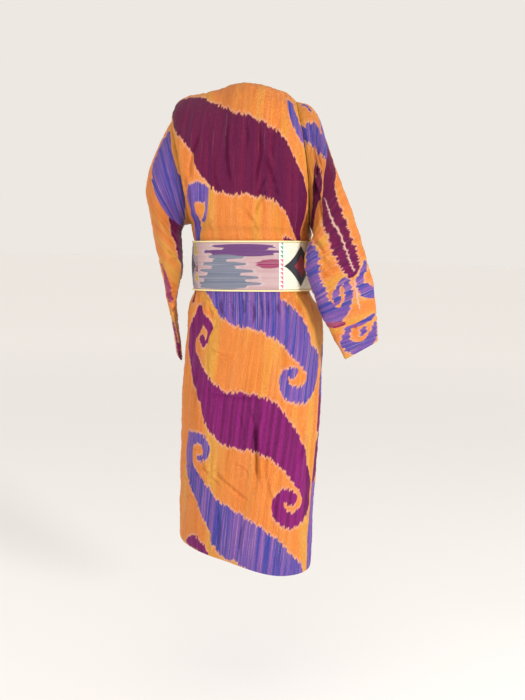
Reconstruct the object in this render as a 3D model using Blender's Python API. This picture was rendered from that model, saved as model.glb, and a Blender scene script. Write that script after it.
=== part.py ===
"""A belted robe of ikat cloth, standing open and hollow as it hangs from a wearer's shoulders.

Metres, +Z up. The front faces -Y and the back faces +Y, so the wearer's left is +X.
The origin is between the shoulders, where the wearer holds the robe up.

Every cloth piece is a closed wall over a grid of points. The grids of neighbouring pieces
share their seam points, and each piece is then drawn back from its seams by half a seam gap.
"""

import math
from collections import namedtuple

import bpy
import numpy as np

# Thicknesses and clearances of the cloth
CLOTH = 0.0016
BELT_CLOTH = 0.0024
APPLIQUE_CLOTH = 0.0012
SEAM_GAP = 0.0003
BELT_CLEARANCE = 0.0008
FRONT_LAP_RISE = 0.0036
BELT_LAP_RISE = 0.0042

# Heights that the pieces share
UNDERARM_Z = -0.335
BELT_TOP_Z = -0.3800
BELT_FOOT_Z = -0.4945
BELT_TILT = 0.004
HELD_TOP_Z = -0.369
HELD_FOOT_Z = -0.508
UNDER_BELT_Z = -0.441
HEM_Z = -1.1885
HEM_TILT = 0.008
HEM_DROP = 0.075
HEM_LIFT = 0.018
HEM_LIFT_FROM_X = -0.12
HEM_LIFT_TO_X = 0.05

# A ring of the body, from side to side and from back to front, with the turn of the hem
# towards the wearer's right, and the exponent that squares its corners
BodyRing = namedtuple("BodyRing", "z left right back front turn_deg square")
BODY_RINGS = (
    BodyRing(-0.335, 0.1560, -0.1430, 0.108, -0.108, 0.0, 2.3),
    BodyRing(-0.353, 0.1570, -0.1480, 0.105, -0.107, 0.0, 2.3),
    BodyRing(-0.369, 0.1515, -0.1460, 0.098, -0.100, 0.0, 2.3),
    BodyRing(-0.508, 0.1470, -0.1500, 0.100, -0.101, 0.0, 2.3),
    BodyRing(-0.532, 0.1560, -0.1670, 0.110, -0.108, 0.5, 2.3),
    BodyRing(-0.570, 0.1615, -0.1815, 0.119, -0.112, 1.5, 2.3),
    BodyRing(-0.620, 0.1635, -0.1860, 0.124, -0.115, 3.0, 2.3),
    BodyRing(-0.700, 0.1700, -0.1865, 0.126, -0.116, 5.5, 2.3),
    BodyRing(-0.850, 0.1765, -0.1855, 0.124, -0.117, 10.0, 2.25),
    BodyRing(-1.000, 0.1805, -0.1810, 0.122, -0.116, 15.0, 2.2),
    BodyRing(-1.200, 0.1890, -0.1850, 0.120, -0.116, 22.0, 2.1),
)
ROW_HEIGHTS = (
    -0.335, -0.353, -0.369, -0.441, -0.508, -0.521, -0.541, -0.576,
    -0.625, -0.690, -0.765, -0.845, -0.928, -1.014, -1.100, -1.1885,
)

# Seams as shares of the ring's length, counted from the centre back towards the wearer's left
SeamRow = namedtuple("SeamRow", "z back_left back_right side_left side_right lap")
SEAM_ROWS = (
    SeamRow(-0.335, 0.132, -0.168, 0.25, -0.250, 0.060),
    SeamRow(-0.369, 0.165, -0.168, 0.25, -0.250, 0.060),
    SeamRow(-0.441, 0.160, -0.168, 0.25, -0.250, 0.061),
    SeamRow(-0.508, 0.142, -0.170, 0.25, -0.250, 0.062),
    SeamRow(-0.541, 0.092, -0.175, 0.25, -0.250, 0.063),
    SeamRow(-0.625, 0.100, -0.189, 0.25, -0.250, 0.065),
    SeamRow(-0.730, 0.085, -0.197, 0.25, -0.250, 0.068),
    SeamRow(-0.860, 0.065, -0.208, 0.25, -0.250, 0.071),
    SeamRow(-1.020, 0.049, -0.223, 0.25, -0.250, 0.074),
    SeamRow(-1.200, 0.037, -0.235, 0.25, -0.250, 0.078),
)

# The top edge from the wearer's left shoulder seam, over the nape, to the right one
RidgePoint = namedtuple("RidgePoint", "x y z")
RIDGE = (
    RidgePoint(0.2150, 0.000, -0.0775),
    RidgePoint(0.2090, 0.002, -0.0510),
    RidgePoint(0.1930, 0.005, -0.0280),
    RidgePoint(0.1720, 0.007, -0.0185),
    RidgePoint(0.1250, 0.009, -0.0088),
    RidgePoint(0.0800, 0.013, 0.0035),
    RidgePoint(0.0620, 0.028, 0.0065),
    RidgePoint(0.0330, 0.046, 0.0080),
    RidgePoint(0.0010, 0.055, 0.0062),
    RidgePoint(-0.0320, 0.049, 0.0015),
    RidgePoint(-0.0540, 0.032, -0.0035),
    RidgePoint(-0.0670, 0.013, -0.0060),
    RidgePoint(-0.0830, 0.010, -0.0150),
    RidgePoint(-0.1000, 0.004, -0.0280),
)
NECK_LEFT_X = 0.080
NECK_RIGHT_X = -0.067
NECK_FRONT_SAG = 0.020
NECK_FRONT_REACH = 0.045

# Depth of the chest along its middle line, above the underarm
ProfilePoint = namedtuple("ProfilePoint", "z back front")
CHEST_PROFILE = (
    ProfilePoint(-0.335, 0.108, -0.108),
    ProfilePoint(-0.250, 0.115, -0.114),
    ProfilePoint(-0.150, 0.116, -0.116),
    ProfilePoint(-0.090, 0.106, -0.104),
    ProfilePoint(-0.030, 0.082, -0.066),
    ProfilePoint(0.008, 0.055, -0.030),
)
CHEST_SQUARE = 3.0
SEAM_HOLLOW = 0.024

# A sleeve section: its outer and inner edge as seen from the back, and its depth in Y
SleeveRing = namedtuple(
    "SleeveRing", "outer_x outer_z inner_x inner_z y back front"
)
LEFT_SLEEVE = (
    SleeveRing(0.2150, -0.0775, 0.1560, -0.335, 0.000, 0.085, 0.079),
    SleeveRing(0.2330, -0.1140, 0.1720, -0.337, 0.004, 0.081, 0.079),
    SleeveRing(0.2510, -0.1570, 0.1810, -0.340, 0.008, 0.078, 0.078),
    SleeveRing(0.2670, -0.1990, 0.1845, -0.348, 0.011, 0.075, 0.076),
    SleeveRing(0.2755, -0.2400, 0.1850, -0.362, 0.012, 0.072, 0.074),
    SleeveRing(0.2720, -0.2850, 0.1845, -0.383, 0.010, 0.070, 0.071),
    SleeveRing(0.2645, -0.3320, 0.1835, -0.410, 0.006, 0.067, 0.068),
    SleeveRing(0.2580, -0.3780, 0.1825, -0.445, -0.001, 0.065, 0.066),
    SleeveRing(0.2480, -0.4250, 0.1890, -0.482, -0.009, 0.062, 0.063),
    SleeveRing(0.2375, -0.4720, 0.1985, -0.512, -0.016, 0.060, 0.061),
    SleeveRing(0.2285, -0.5250, 0.2030, -0.545, -0.024, 0.058, 0.058),
    SleeveRing(0.2190, -0.5760, 0.1995, -0.592, -0.034, 0.056, 0.056),
    SleeveRing(0.2118, -0.6300, 0.1950, -0.645, -0.047, 0.053, 0.053),
    SleeveRing(0.2052, -0.6830, 0.1912, -0.692, -0.058, 0.050, 0.050),
)
RIGHT_SLEEVE = (
    SleeveRing(-0.1000, -0.0280, -0.1430, -0.335, 0.000, 0.085, 0.079),
    SleeveRing(-0.1390, -0.0430, -0.1470, -0.339, 0.006, 0.083, 0.077),
    SleeveRing(-0.1610, -0.0770, -0.1510, -0.344, 0.012, 0.080, 0.073),
    SleeveRing(-0.1765, -0.1180, -0.1540, -0.350, 0.020, 0.075, 0.068),
    SleeveRing(-0.1930, -0.1610, -0.1560, -0.357, 0.029, 0.069, 0.062),
    SleeveRing(-0.2110, -0.2060, -0.1540, -0.367, 0.039, 0.062, 0.055),
    SleeveRing(-0.2330, -0.2560, -0.1460, -0.385, 0.050, 0.055, 0.049),
    SleeveRing(-0.2560, -0.3130, -0.1385, -0.410, 0.062, 0.048, 0.042),
    SleeveRing(-0.2760, -0.3700, -0.1440, -0.448, 0.073, 0.042, 0.037),
    SleeveRing(-0.2935, -0.4200, -0.1660, -0.503, 0.082, 0.037, 0.033),
    SleeveRing(-0.3070, -0.4640, -0.1790, -0.533, 0.086, 0.033, 0.030),
    SleeveRing(-0.3150, -0.5100, -0.1910, -0.560, 0.089, 0.029, 0.027),
    SleeveRing(-0.3200, -0.5450, -0.2060, -0.583, 0.090, 0.025, 0.023),
    SleeveRing(-0.3235, -0.5800, -0.2260, -0.618, 0.088, 0.020, 0.018),
    SleeveRing(-0.3265, -0.6090, -0.2484, -0.657, 0.086, 0.015, 0.014),
)
ARMHOLE_WAIST_FADES_BY = 3
CUFF_SQUARE = 2.8

# Folds of the body: place round the ring, half width, depth (a trough is negative) and reach
BodyFold = namedtuple("BodyFold", "share width depth top foot")
BODY_FOLDS = (
    BodyFold(0.030, 0.016, -0.0030, -0.690, -1.050),
    BodyFold(-0.040, 0.020, -0.0035, -0.760, -1.172),
    BodyFold(0.085, 0.022, 0.0035, -0.540, -0.900),
    BodyFold(-0.120, 0.024, -0.0040, -0.820, -1.172),
    BodyFold(0.160, 0.020, -0.0045, -0.545, -1.172),
    BodyFold(-0.215, 0.020, -0.0040, -0.560, -1.000),
    BodyFold(0.330, 0.026, -0.0060, -0.530, -1.172),
    BodyFold(-0.330, 0.026, -0.0060, -0.530, -1.172),
    BodyFold(0.430, 0.022, 0.0040, -0.560, -1.172),
    BodyFold(-0.405, 0.022, 0.0045, -0.600, -1.172),
)
GATHER_COUNT = 17
GATHER_BELOW = 0.0026
GATHER_ABOVE = 0.0014
GATHER_PEAK_Z = -0.535
GATHER_END_Z = -0.660

# Folds of a sleeve: place along it in sections, place round it, half sizes, depth and slant
SleeveFold = namedtuple(
    "SleeveFold", "along round_deg half_long half_round_deg depth slant_deg"
)
LEFT_SLEEVE_FOLDS = (
    SleeveFold(2.6, 120.0, 2.2, 20.0, -0.0060, 10.0),
    SleeveFold(4.3, 165.0, 0.8, 42.0, -0.0055, 0.0),
    SleeveFold(6.0, 40.0, 0.9, 50.0, -0.0030, 8.0),
    SleeveFold(9.8, 120.0, 2.0, 20.0, -0.0045, 4.0),
)
RIGHT_SLEEVE_FOLDS = (
    SleeveFold(2.8, 100.0, 0.9, 34.0, -0.0065, 16.0),
    SleeveFold(3.6, 142.0, 2.2, 22.0, -0.0070, 6.0),
    SleeveFold(6.6, 118.0, 1.4, 20.0, -0.0040, -14.0),
    SleeveFold(7.4, 88.0, 1.2, 20.0, -0.0034, 12.0),
    SleeveFold(6.2, 262.0, 1.4, 34.0, -0.0035, 0.0),
)

# The three lengths that each sleeve is cut in, counted in sections from the armhole, and how
# far the armhole's back and front edges are hollowed towards the body
Sleeve = namedtuple("Sleeve", "side rings fold_table lower_from end_from waist cuff_turn_deg")
SLEEVES = (
    Sleeve("left", LEFT_SLEEVE, LEFT_SLEEVE_FOLDS, 8, 11, 0.012, 13.0),
    Sleeve("right", RIGHT_SLEEVE, RIGHT_SLEEVE_FOLDS, 9, 12, -0.017, 0.0),
)

# Columns and rows of the grids
LEFT_STRIP_COLUMNS = 7
LEFT_OF_NECK_COLUMNS = 4
NECK_COLUMNS = 11
RIGHT_OF_NECK_COLUMNS = 4
RIGHT_STRIP_COLUMNS = 7
SHOULDER_COLUMNS = LEFT_STRIP_COLUMNS + LEFT_OF_NECK_COLUMNS
MAIN_COLUMNS = LEFT_OF_NECK_COLUMNS + NECK_COLUMNS + RIGHT_OF_NECK_COLUMNS
LAP_COLUMNS = 5
ARMHOLE_ROWS = 12
SHOULDER_TIPS = (LEFT_SLEEVE[0].outer_x, RIGHT_SLEEVE[0].outer_x)

# Belt: the panels that follow each other round it, as shares of the ring, cut at even steps
BELT_STEP = 0.01
BeltPanel = namedtuple("BeltPanel", "name start end")
BELT_LAP = 0.04
BELT_PANELS = (
    BeltPanel("belt_front_left", 0.5 + BELT_LAP, 0.35),
    BeltPanel("belt_side_left", 0.35, 0.17),
    BeltPanel("belt_back", 0.17, -0.10),
    BeltPanel("belt_strip", -0.10, -0.116),
    BeltPanel("belt_side_right", -0.116, -0.356),
    BeltPanel("belt_front_right", -0.356, -0.5 - BELT_LAP),
)
PIPING_RADIUS = 0.0022
PIPING_SIDES = 5
PIPING_STEP = 0.015

# Applique diamonds with hollowed sides, each with a smaller patch on it
Applique = namedtuple("Applique", "side share half_share half_height patch_half_share patch_half_height")
APPLIQUE_STEP = 0.005
APPLIQUES = (
    Applique("right", -0.171, 0.055, 0.050, 0.025, 0.028),
    Applique("right_2", -0.301, 0.055, 0.050, 0.025, 0.028),
    Applique("left", 0.235, 0.055, 0.050, 0.025, 0.028),
)
APPLIQUE_HOLLOW = 0.45
APPLIQUE_TIP = 0.05

ORANGE = (0.80, 0.36, 0.12)
PALE_PINK = (0.66, 0.50, 0.49)
IVORY = (0.82, 0.80, 0.68)
CREAM = (0.90, 0.80, 0.50)
BLACK = (0.03, 0.03, 0.04)
RED = (0.42, 0.03, 0.09)


def smooth(value, low, high):
    """0 below low, 1 above high, and an even S-curve between them. low may be above high."""
    share = np.clip((np.asarray(value, float) - low) / (high - low), 0.0, 1.0)
    return share * share * (3.0 - 2.0 * share)


def through(knots, values, at):
    """The values on a smooth curve through a table, at the given places."""
    knots, values = np.asarray(knots, float), np.asarray(values, float)
    if knots[0] > knots[-1]:
        knots, values = knots[::-1], values[::-1]
    at = np.clip(np.asarray(at, float), knots[0], knots[-1])
    slopes = np.gradient(values, knots)
    low = np.clip(np.searchsorted(knots, at) - 1, 0, len(knots) - 2)
    span = knots[low + 1] - knots[low]
    t = (at - knots[low]) / span
    return (
        values[low] * (1 + 2 * t) * (1 - t) ** 2
        + slopes[low] * span * t * (1 - t) ** 2
        + values[low + 1] * t * t * (3 - 2 * t)
        + slopes[low + 1] * span * t * t * (t - 1)
    )


def column_of(table, name, key, at):
    """One named column of a table, read smoothly at the given places of its key column."""
    return through([getattr(r, key) for r in table], [getattr(r, name) for r in table], at)


def spread_evenly(line, shares):
    """Points at the given shares of a polyline's length."""
    steps = np.linalg.norm(np.diff(line, axis=0), axis=1)
    run = np.concatenate([[0.0], np.cumsum(steps)])
    at = np.asarray(shares) * run[-1]
    return np.stack([np.interp(at, run, line[:, k]) for k in range(3)], axis=1)


def power(value, exponent):
    return np.sign(value) * np.abs(value) ** exponent


def body_ring(z, shares):
    """Points of the body's ring at one height, without folds, at shares counted from the centre back."""
    left, right, back, front, turn, square = (
        column_of(BODY_RINGS, name, "z", z)
        for name in ("left", "right", "back", "front", "turn_deg", "square")
    )
    angle = np.linspace(-math.pi, math.pi, 721)
    x = power(np.sin(angle), 2 / square) * (left - right) / 2
    y = power(np.cos(angle), 2 / square) * (back - front) / 2
    middle_x, middle_y = (left + right) / 2, (back + front) / 2
    turn = -math.radians(turn)
    line = np.stack(
        [
            middle_x + x * math.cos(turn) - y * math.sin(turn),
            middle_y + x * math.sin(turn) + y * math.cos(turn),
            np.full_like(x, z),
        ],
        axis=1,
    )
    wrapped = (np.asarray(shares) + 0.5) % 1.0
    return spread_evenly(line, wrapped)


def held_row(z, shares):
    """The body's ring, which runs straight between the heights where the belt holds it."""
    if not HELD_FOOT_Z < z < HELD_TOP_Z:
        return body_ring(z, shares)
    share = (z - HELD_FOOT_Z) / (HELD_TOP_Z - HELD_FOOT_Z)
    return body_ring(HELD_FOOT_Z, shares) * (1 - share) + body_ring(HELD_TOP_Z, shares) * share


def ring_length(z):
    ring = body_ring(z, np.linspace(-0.5, 0.499, 200))
    return np.linalg.norm(ring - np.roll(ring, 1, axis=0), axis=1).sum()


def outward(ring_at, z, shares):
    """Level unit vectors that point out of the body's ring."""
    step = 0.004
    along = ring_at(z, np.asarray(shares) + step) - ring_at(z, np.asarray(shares) - step)
    away = np.stack([along[:, 1], -along[:, 0], np.zeros(len(along))], axis=1)
    middle = ring_at(z, [0.0, 0.25, 0.5, -0.25]).mean(axis=0)
    away *= np.sign(((ring_at(z, shares) - middle) * away).sum(axis=1))[:, None]
    return away / np.linalg.norm(away, axis=1)[:, None]


def fold_relief(z, shares):
    """How far the folds and the gathers at the belt push the cloth outwards."""
    shares = np.asarray(shares, float)
    length = ring_length(z)
    relief = np.zeros_like(shares)
    for fold in BODY_FOLDS:
        away = ((shares - fold.share + 0.5) % 1.0 - 0.5) * length
        reach = smooth(z, fold.top, fold.top - 0.10)
        if fold.foot > HEM_Z:
            reach = reach * smooth(z, fold.foot, fold.foot + 0.10)
        relief += fold.depth * np.exp(-((away / fold.width) ** 2)) * reach
    wander = 0.9 * np.sin(2 * math.pi * 3 * shares) + 0.5 * np.sin(2 * math.pi * 7 * shares + 1)
    wave = np.cos(2 * math.pi * GATHER_COUNT * shares + wander)
    below = GATHER_BELOW * smooth(z, HELD_FOOT_Z, GATHER_PEAK_Z) * smooth(z, GATHER_END_Z, GATHER_PEAK_Z)
    above = GATHER_ABOVE * smooth(z, HELD_TOP_Z, HELD_TOP_Z + 0.02) * smooth(z, UNDERARM_Z, HELD_TOP_Z + 0.02)
    return relief + (below + above) * wave


def body_row(z, shares):
    """A row of the body's cloth below the underarm, with its folds and the slope of the hem."""
    row = body_ring(z, shares) + outward(body_ring, z, shares) * fold_relief(z, shares)[:, None]
    slope = HEM_TILT * row[:, 0] / 0.17 - HEM_DROP * row[:, 1]
    slope += HEM_LIFT * smooth(row[:, 0], HEM_LIFT_FROM_X, HEM_LIFT_TO_X)
    row[:, 2] += smooth(z, -0.55, HEM_Z) * slope
    return row


def sleeve_ring(sleeve, at, round_rad):
    """Points round a sleeve at one place along it, counted in sections from the armhole.

    round_rad is 0 at the outer edge, a quarter turn at the back and half a turn at the inner edge.
    """
    rings = sleeve.rings
    index = np.arange(len(rings))
    read = {n: float(through(index, [getattr(r, n) for r in rings], at)) for n in SleeveRing._fields}
    outer = np.array([read["outer_x"], read["y"], read["outer_z"]])
    inner = np.array([read["inner_x"], read["y"], read["inner_z"]])
    middle, half = (outer + inner) / 2, (outer - inner) / 2
    depth = np.where(np.sin(round_rad) > 0, read["back"], read["front"])
    side = math.copysign(1.0, read["outer_x"])
    waist = sleeve.waist * smooth(at, ARMHOLE_WAIST_FADES_BY, 0)
    turn = math.radians(sleeve.cuff_turn_deg) * smooth(at, 2, 10)
    across = np.array([-math.sin(turn), math.cos(turn), 0.0])
    inwards = np.array([-side, 0.0, 0.0])
    square = 2.0 + (CUFF_SQUARE - 2.0) * smooth(at, 2, len(rings) - 1)
    ring = (
        middle
        + power(np.cos(round_rad), 2 / square)[:, None] * half
        + (power(np.sin(round_rad), 2 / square) * depth)[:, None] * across
        + (np.sin(round_rad) ** 2 * waist)[:, None] * inwards
    )
    away = ring - middle
    away /= np.linalg.norm(away, axis=1)[:, None]
    relief = np.zeros(len(ring))
    for fold in sleeve.fold_table:
        turn = np.degrees(round_rad) - fold.round_deg - fold.slant_deg * (at - fold.along)
        turn = (turn + 180.0) % 360.0 - 180.0
        fade = math.exp(-(((at - fold.along) / fold.half_long) ** 2))
        relief += fold.depth * fade * np.exp(-((turn / fold.half_round_deg) ** 2))
    return ring + away * (relief * smooth(at, 0.0, 1.5))[:, None]


def armhole_point(sleeve, round_rad):
    return sleeve_ring(sleeve, 0.0, np.array([round_rad]))[0]


def ridge_line(x, over_the_front):
    """Points of the top edge at the given x. The front's own line dips before the neck."""
    keys = [p.x for p in RIDGE]
    line = np.stack([x, through(keys, [p.y for p in RIDGE], x), through(keys, [p.z for p in RIDGE], x)], axis=1)
    if over_the_front:
        share = np.clip((NECK_LEFT_X - x) / (NECK_LEFT_X - NECK_RIGHT_X), 0.0, 1.0)
        inside = (share > 0) & (share < 1)
        left, right = (
            np.array([through(keys, [getattr(p, n) for p in RIDGE], neck) for n in ("y", "z")])
            for neck in (NECK_LEFT_X, NECK_RIGHT_X)
        )
        level = left + (right - left) * share[:, None]
        dip = np.sin(math.pi * share)[:, None] * np.array([-NECK_FRONT_REACH, -NECK_FRONT_SAG])
        line[inside, 1:] = (level + dip)[inside]
    return line


def chest_row(rise, places, facing):
    """A row of the chest or the upper back, between the armholes.

    rise is 0 at the underarm and 1 at the shoulder; places run from the left armhole, 0, to the
    right one, 1; facing is +1 for the back and -1 for the front.
    """
    turn = math.pi * (1 - rise) if facing > 0 else math.pi * (1 + rise)
    left, right = (armhole_point(sleeve, turn) for sleeve in SLEEVES)
    middle = (left + right) / 2
    profile = float(column_of(CHEST_PROFILE, "back" if facing > 0 else "front", "z", middle[2]))
    ring_square = float(column_of(BODY_RINGS, "square", "z", UNDERARM_Z))
    square = ring_square + (CHEST_SQUARE - ring_square) * smooth(rise, 0.0, 0.4)
    angle = np.linspace(-math.pi / 2, math.pi / 2, 361)
    along = power(np.sin(angle), 2 / square)
    bulge = power(np.cos(angle), 2 / square) * (profile - middle[1])
    line = middle + along[:, None] * (right - left) / 2
    line[:, 1] += bulge
    row = spread_evenly(line, places)
    tips = ridge_line(np.array(SHOULDER_TIPS), False)
    ridge = ridge_line(SHOULDER_TIPS[0] + (SHOULDER_TIPS[1] - SHOULDER_TIPS[0]) * places, facing < 0)
    chord = tips[0] + (tips[1] - tips[0]) * places[:, None]
    lifted = left + (right - left) * places[:, None] + (ridge - chord)
    share = float(smooth(rise, 0.42, 1.0))
    return row * (1 - share) + lifted * share


def seam_at(name, z):
    return float(column_of(SEAM_ROWS, name, "z", z))


def steps_between(stops, counts):
    """Even steps from each stop to the next."""
    parts = [np.linspace(a, b, n + 1)[:-1] for a, b, n in zip(stops, stops[1:], counts)]
    return np.concatenate([*parts, [stops[-1]]])


def back_shares(z):
    """Ring shares of the back's columns at one height, from the left side seam to the right one."""
    stops = [seam_at(n, z) for n in ("side_left", "back_left", "back_right", "side_right")]
    return steps_between(stops, [LEFT_STRIP_COLUMNS, MAIN_COLUMNS, RIGHT_STRIP_COLUMNS])


def places_at(rise, facing, x):
    """Where a row of the chest passes the given x, as a place between 0 and 1."""
    dense = np.linspace(0.0, 1.0, 241)
    return np.interp(-np.asarray(x), -chest_row(rise, dense, facing)[:, 0], dense)


def shoulder_x():
    """The x of the top row's columns: even steps on each shoulder and over the neck."""
    stops = [SHOULDER_TIPS[0], NECK_LEFT_X, NECK_RIGHT_X, SHOULDER_TIPS[1]]
    return steps_between(stops, [SHOULDER_COLUMNS, NECK_COLUMNS, SHOULDER_COLUMNS])


def back_grid():
    """All of the back, from the hem up to the shoulders, as rows of points."""
    rows = [body_row(z, back_shares(z)) for z in reversed(ROW_HEIGHTS)]
    first, last = LEFT_STRIP_COLUMNS, LEFT_STRIP_COLUMNS + MAIN_COLUMNS
    low_x, high_x = rows[-1][:, 0], shoulder_x()
    high = (high_x[first : last + 1] - high_x[first]) / (high_x[last] - high_x[first])
    low = np.linspace(0.0, 1.0, MAIN_COLUMNS + 1)
    for step in range(1, ARMHOLE_ROWS + 1):
        rise = step / ARMHOLE_ROWS
        share = float(smooth(rise, 0.0, 1.0))
        seams = low_x[[first, last]] * (1 - share) + high_x[[first, last]] * share
        seams = seams - np.array([SEAM_HOLLOW, 0.0]) * math.sin(math.pi * rise)
        a, b = places_at(rise, 1, seams)
        main = a + (b - a) * (low + (high - low) * share)
        left = np.linspace(0.0, a, LEFT_STRIP_COLUMNS + 1)[:-1]
        right = np.linspace(b, 1.0, RIGHT_STRIP_COLUMNS + 1)[1:]
        rows.append(chest_row(rise, np.concatenate([left, main, right]), 1))
    return np.array(rows)


def front_grid(side):
    """One front, from the hem up to the shoulder, from its side seam to its free edge."""
    sign = 1 if side == "left" else -1
    shares = np.linspace(0.0, 1.0, SHOULDER_COLUMNS + 1)
    split = [SHOULDER_COLUMNS - LAP_COLUMNS, LAP_COLUMNS]
    rows = []
    for z in reversed(ROW_HEIGHTS):
        start, lap = seam_at(f"side_{side}", z), seam_at("lap", z)
        rows.append(body_row(z, steps_between([start, sign * (0.5 - lap), sign * (0.5 + lap)], split)))
    low_x = rows[-1][-1, 0]
    high_x = NECK_LEFT_X if side == "left" else NECK_RIGHT_X
    start = 0.0 if side == "left" else 1.0
    rises = np.arange(1, ARMHOLE_ROWS + 1) / ARMHOLE_ROWS
    for rise in rises:
        height = (1 - math.cos(math.pi * rise)) / 2
        edge = float(places_at(rise, -1, low_x + (high_x - low_x) * height**0.9))
        rows.append(chest_row(rise, start + (edge - start) * shares, -1))
    grid = np.array(rows)
    if side == "left":
        fade = smooth(np.concatenate([np.zeros(len(ROW_HEIGHTS)), rises]), 0.85, 0.47)
        lift = FRONT_LAP_RISE * np.outer(fade, smooth(shares, 0.22, 0.54))
        grid = grid + grid_normals(grid, False) * lift[:, :, None]
    return grid


def sleeve_grid(sleeve):
    """A whole sleeve as rings of points. The last column is left out, as the tube closes on itself."""
    turn = math.pi * np.arange(2 * ARMHOLE_ROWS) / ARMHOLE_ROWS
    return np.array([sleeve_ring(sleeve, at, turn) for at in range(len(sleeve.rings))])


def grid_normals(grid, closed):
    """Unit normals that point out of the garment, one for each point of a grid."""
    along_rows = np.gradient(grid, axis=0)
    if closed:
        along_columns = np.roll(grid, -1, axis=1) - np.roll(grid, 1, axis=1)
    else:
        along_columns = np.gradient(grid, axis=1)
    normals = np.cross(along_rows, along_columns)
    normals /= np.linalg.norm(normals, axis=2)[:, :, None]
    middle = grid.mean(axis=(0, 1)) * [1, 0, 1] if not closed else grid.mean(axis=1, keepdims=True)
    if ((grid - middle) * normals).sum() < 0:
        normals = -normals
    return normals


def unit(vector):
    return vector / np.linalg.norm(vector)


def share_seam_normals(grids, normals):
    """Where pieces meet, gives each the same normal, so that their walls meet on one mitre.

    The body's panels count as one where they meet a sleeve.
    """
    met = {}
    for name, grid in grids.items():
        for index in np.ndindex(grid.shape[:2]):
            key = tuple(np.round(grid[index] * 1e5).astype(int))
            met.setdefault(key, []).append((name, index))
    for places in met.values():
        if len(places) > 1:
            sleeves = [normals[n][k] for n, k in places if n.startswith("sleeve")]
            panels = [normals[n][k] for n, k in places if not n.startswith("sleeve")]
            shared = unit(sum(unit(sum(found)) for found in (sleeves, panels) if found))
            for name, index in places:
                normals[name][index] = shared


def corners_of(cell, columns):
    """The four points of a cell, in turn. The last column of a tube joins its first."""
    i, j = cell
    k = (j + 1) % columns
    return i * columns + j, i * columns + k, (i + 1) * columns + k, (i + 1) * columns + j


def outline(cells, columns):
    """The edges of a piece that no second cell shares, each with its own cell's corners."""
    edges = {}
    for cell in np.argwhere(cells):
        corners = corners_of(cell, columns)
        for a, b in zip(corners, corners[1:] + corners[:1]):
            edges[a, b] = corners
    return {(a, b): corners for (a, b), corners in edges.items() if (b, a) not in edges}


def drawn_back(grid, cells):
    """The grid with the outline of its cells moved inwards, square to each edge, by half a seam gap."""
    points = grid.reshape(-1, 3)
    inwards = {}
    for (a, b), (p, q, r, s) in outline(cells, grid.shape[1]).items():
        facing = np.cross(points[r] - points[p], points[s] - points[q])
        step = unit(np.cross(facing, points[b] - points[a]))
        inwards.setdefault(a, []).append(step)
        inwards.setdefault(b, []).append(step)
    moved = points.copy()
    for at, (first, second) in inwards.items():
        moved[at] += SEAM_GAP / 2 * (first + second) / max(1 + first @ second, 0.3)
    return moved.reshape(grid.shape)


def wall_faces(cells, columns, places):
    """Faces of a wall over some cells of a grid: outer points first, then the inner ones.

    The faces on a seam are split from the same corner in both of the pieces that meet there.
    """
    inner = (cells.shape[0] + 1) * columns
    faces = []
    for cell in np.argwhere(cells):
        a, b, c, d = corners_of(cell, columns)
        faces.append((a, b, c, d))
        faces.append((inner + a, inner + d, inner + c, inner + b))
    for a, b in outline(cells, columns):
        face = (b, a, inner + a, inner + b)
        faces.append(face if tuple(places[b]) < tuple(places[a]) else face[1:] + face[:1])
    return faces


def used_only(points, faces):
    """The points that the faces use, and the faces numbered after them."""
    used = sorted({int(k) for face in faces for k in face})
    number = {old: new for new, old in enumerate(used)}
    return points[used], [tuple(number[int(k)] for k in face) for face in faces]


def signed_volume(points, faces):
    total = 0.0
    for face in faces:
        for k in range(1, len(face) - 1):
            a, b, c = points[face[0]], points[face[k]], points[face[k + 1]]
            total += float(np.dot(a, np.cross(b, c)))
    return total / 6


def material(name, colour, roughness):
    found = bpy.data.materials.get(name) or bpy.data.materials.new(name)
    found.use_nodes = True
    shader = found.node_tree.nodes["Principled BSDF"]
    shader.inputs["Base Color"].default_value = (*colour, 1.0)
    shader.inputs["Roughness"].default_value = roughness
    shader.inputs["Metallic"].default_value = 0.0
    return found


def add_object(name, points, faces, finish):
    if signed_volume(points, faces) < 0:
        faces = [face[::-1] for face in faces]
    mesh = bpy.data.meshes.new(name)
    mesh.from_pydata([tuple(p) for p in points], [], faces)
    mesh.update()
    mesh.shade_smooth()
    mesh.materials.append(finish)
    made = bpy.data.objects.new(name, mesh)
    bpy.context.scene.collection.objects.link(made)
    return made


def add_wall(name, seams, outer, inner, cells, finish):
    points = np.concatenate([outer.reshape(-1, 3), inner.reshape(-1, 3)])
    places = np.round(seams.reshape(-1, 3), 6)
    points, faces = used_only(points, wall_faces(cells, outer.shape[1], places))
    return add_object(name, points, faces, finish)


def robe_sheets():
    """The grid of each part of the robe before it is cut into pieces."""
    sheets = {"back": back_grid(), "front_left": front_grid("left"), "front_right": front_grid("right")}
    sheets.update({f"sleeve_{sleeve.side}": sleeve_grid(sleeve) for sleeve in SLEEVES})
    return sheets


def cells_of(grid, closed, rows=slice(None), columns=slice(None)):
    shape = (grid.shape[0] - 1, grid.shape[1] - (0 if closed else 1))
    cells = np.zeros(shape, bool)
    cells[rows, columns] = True
    return cells


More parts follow.
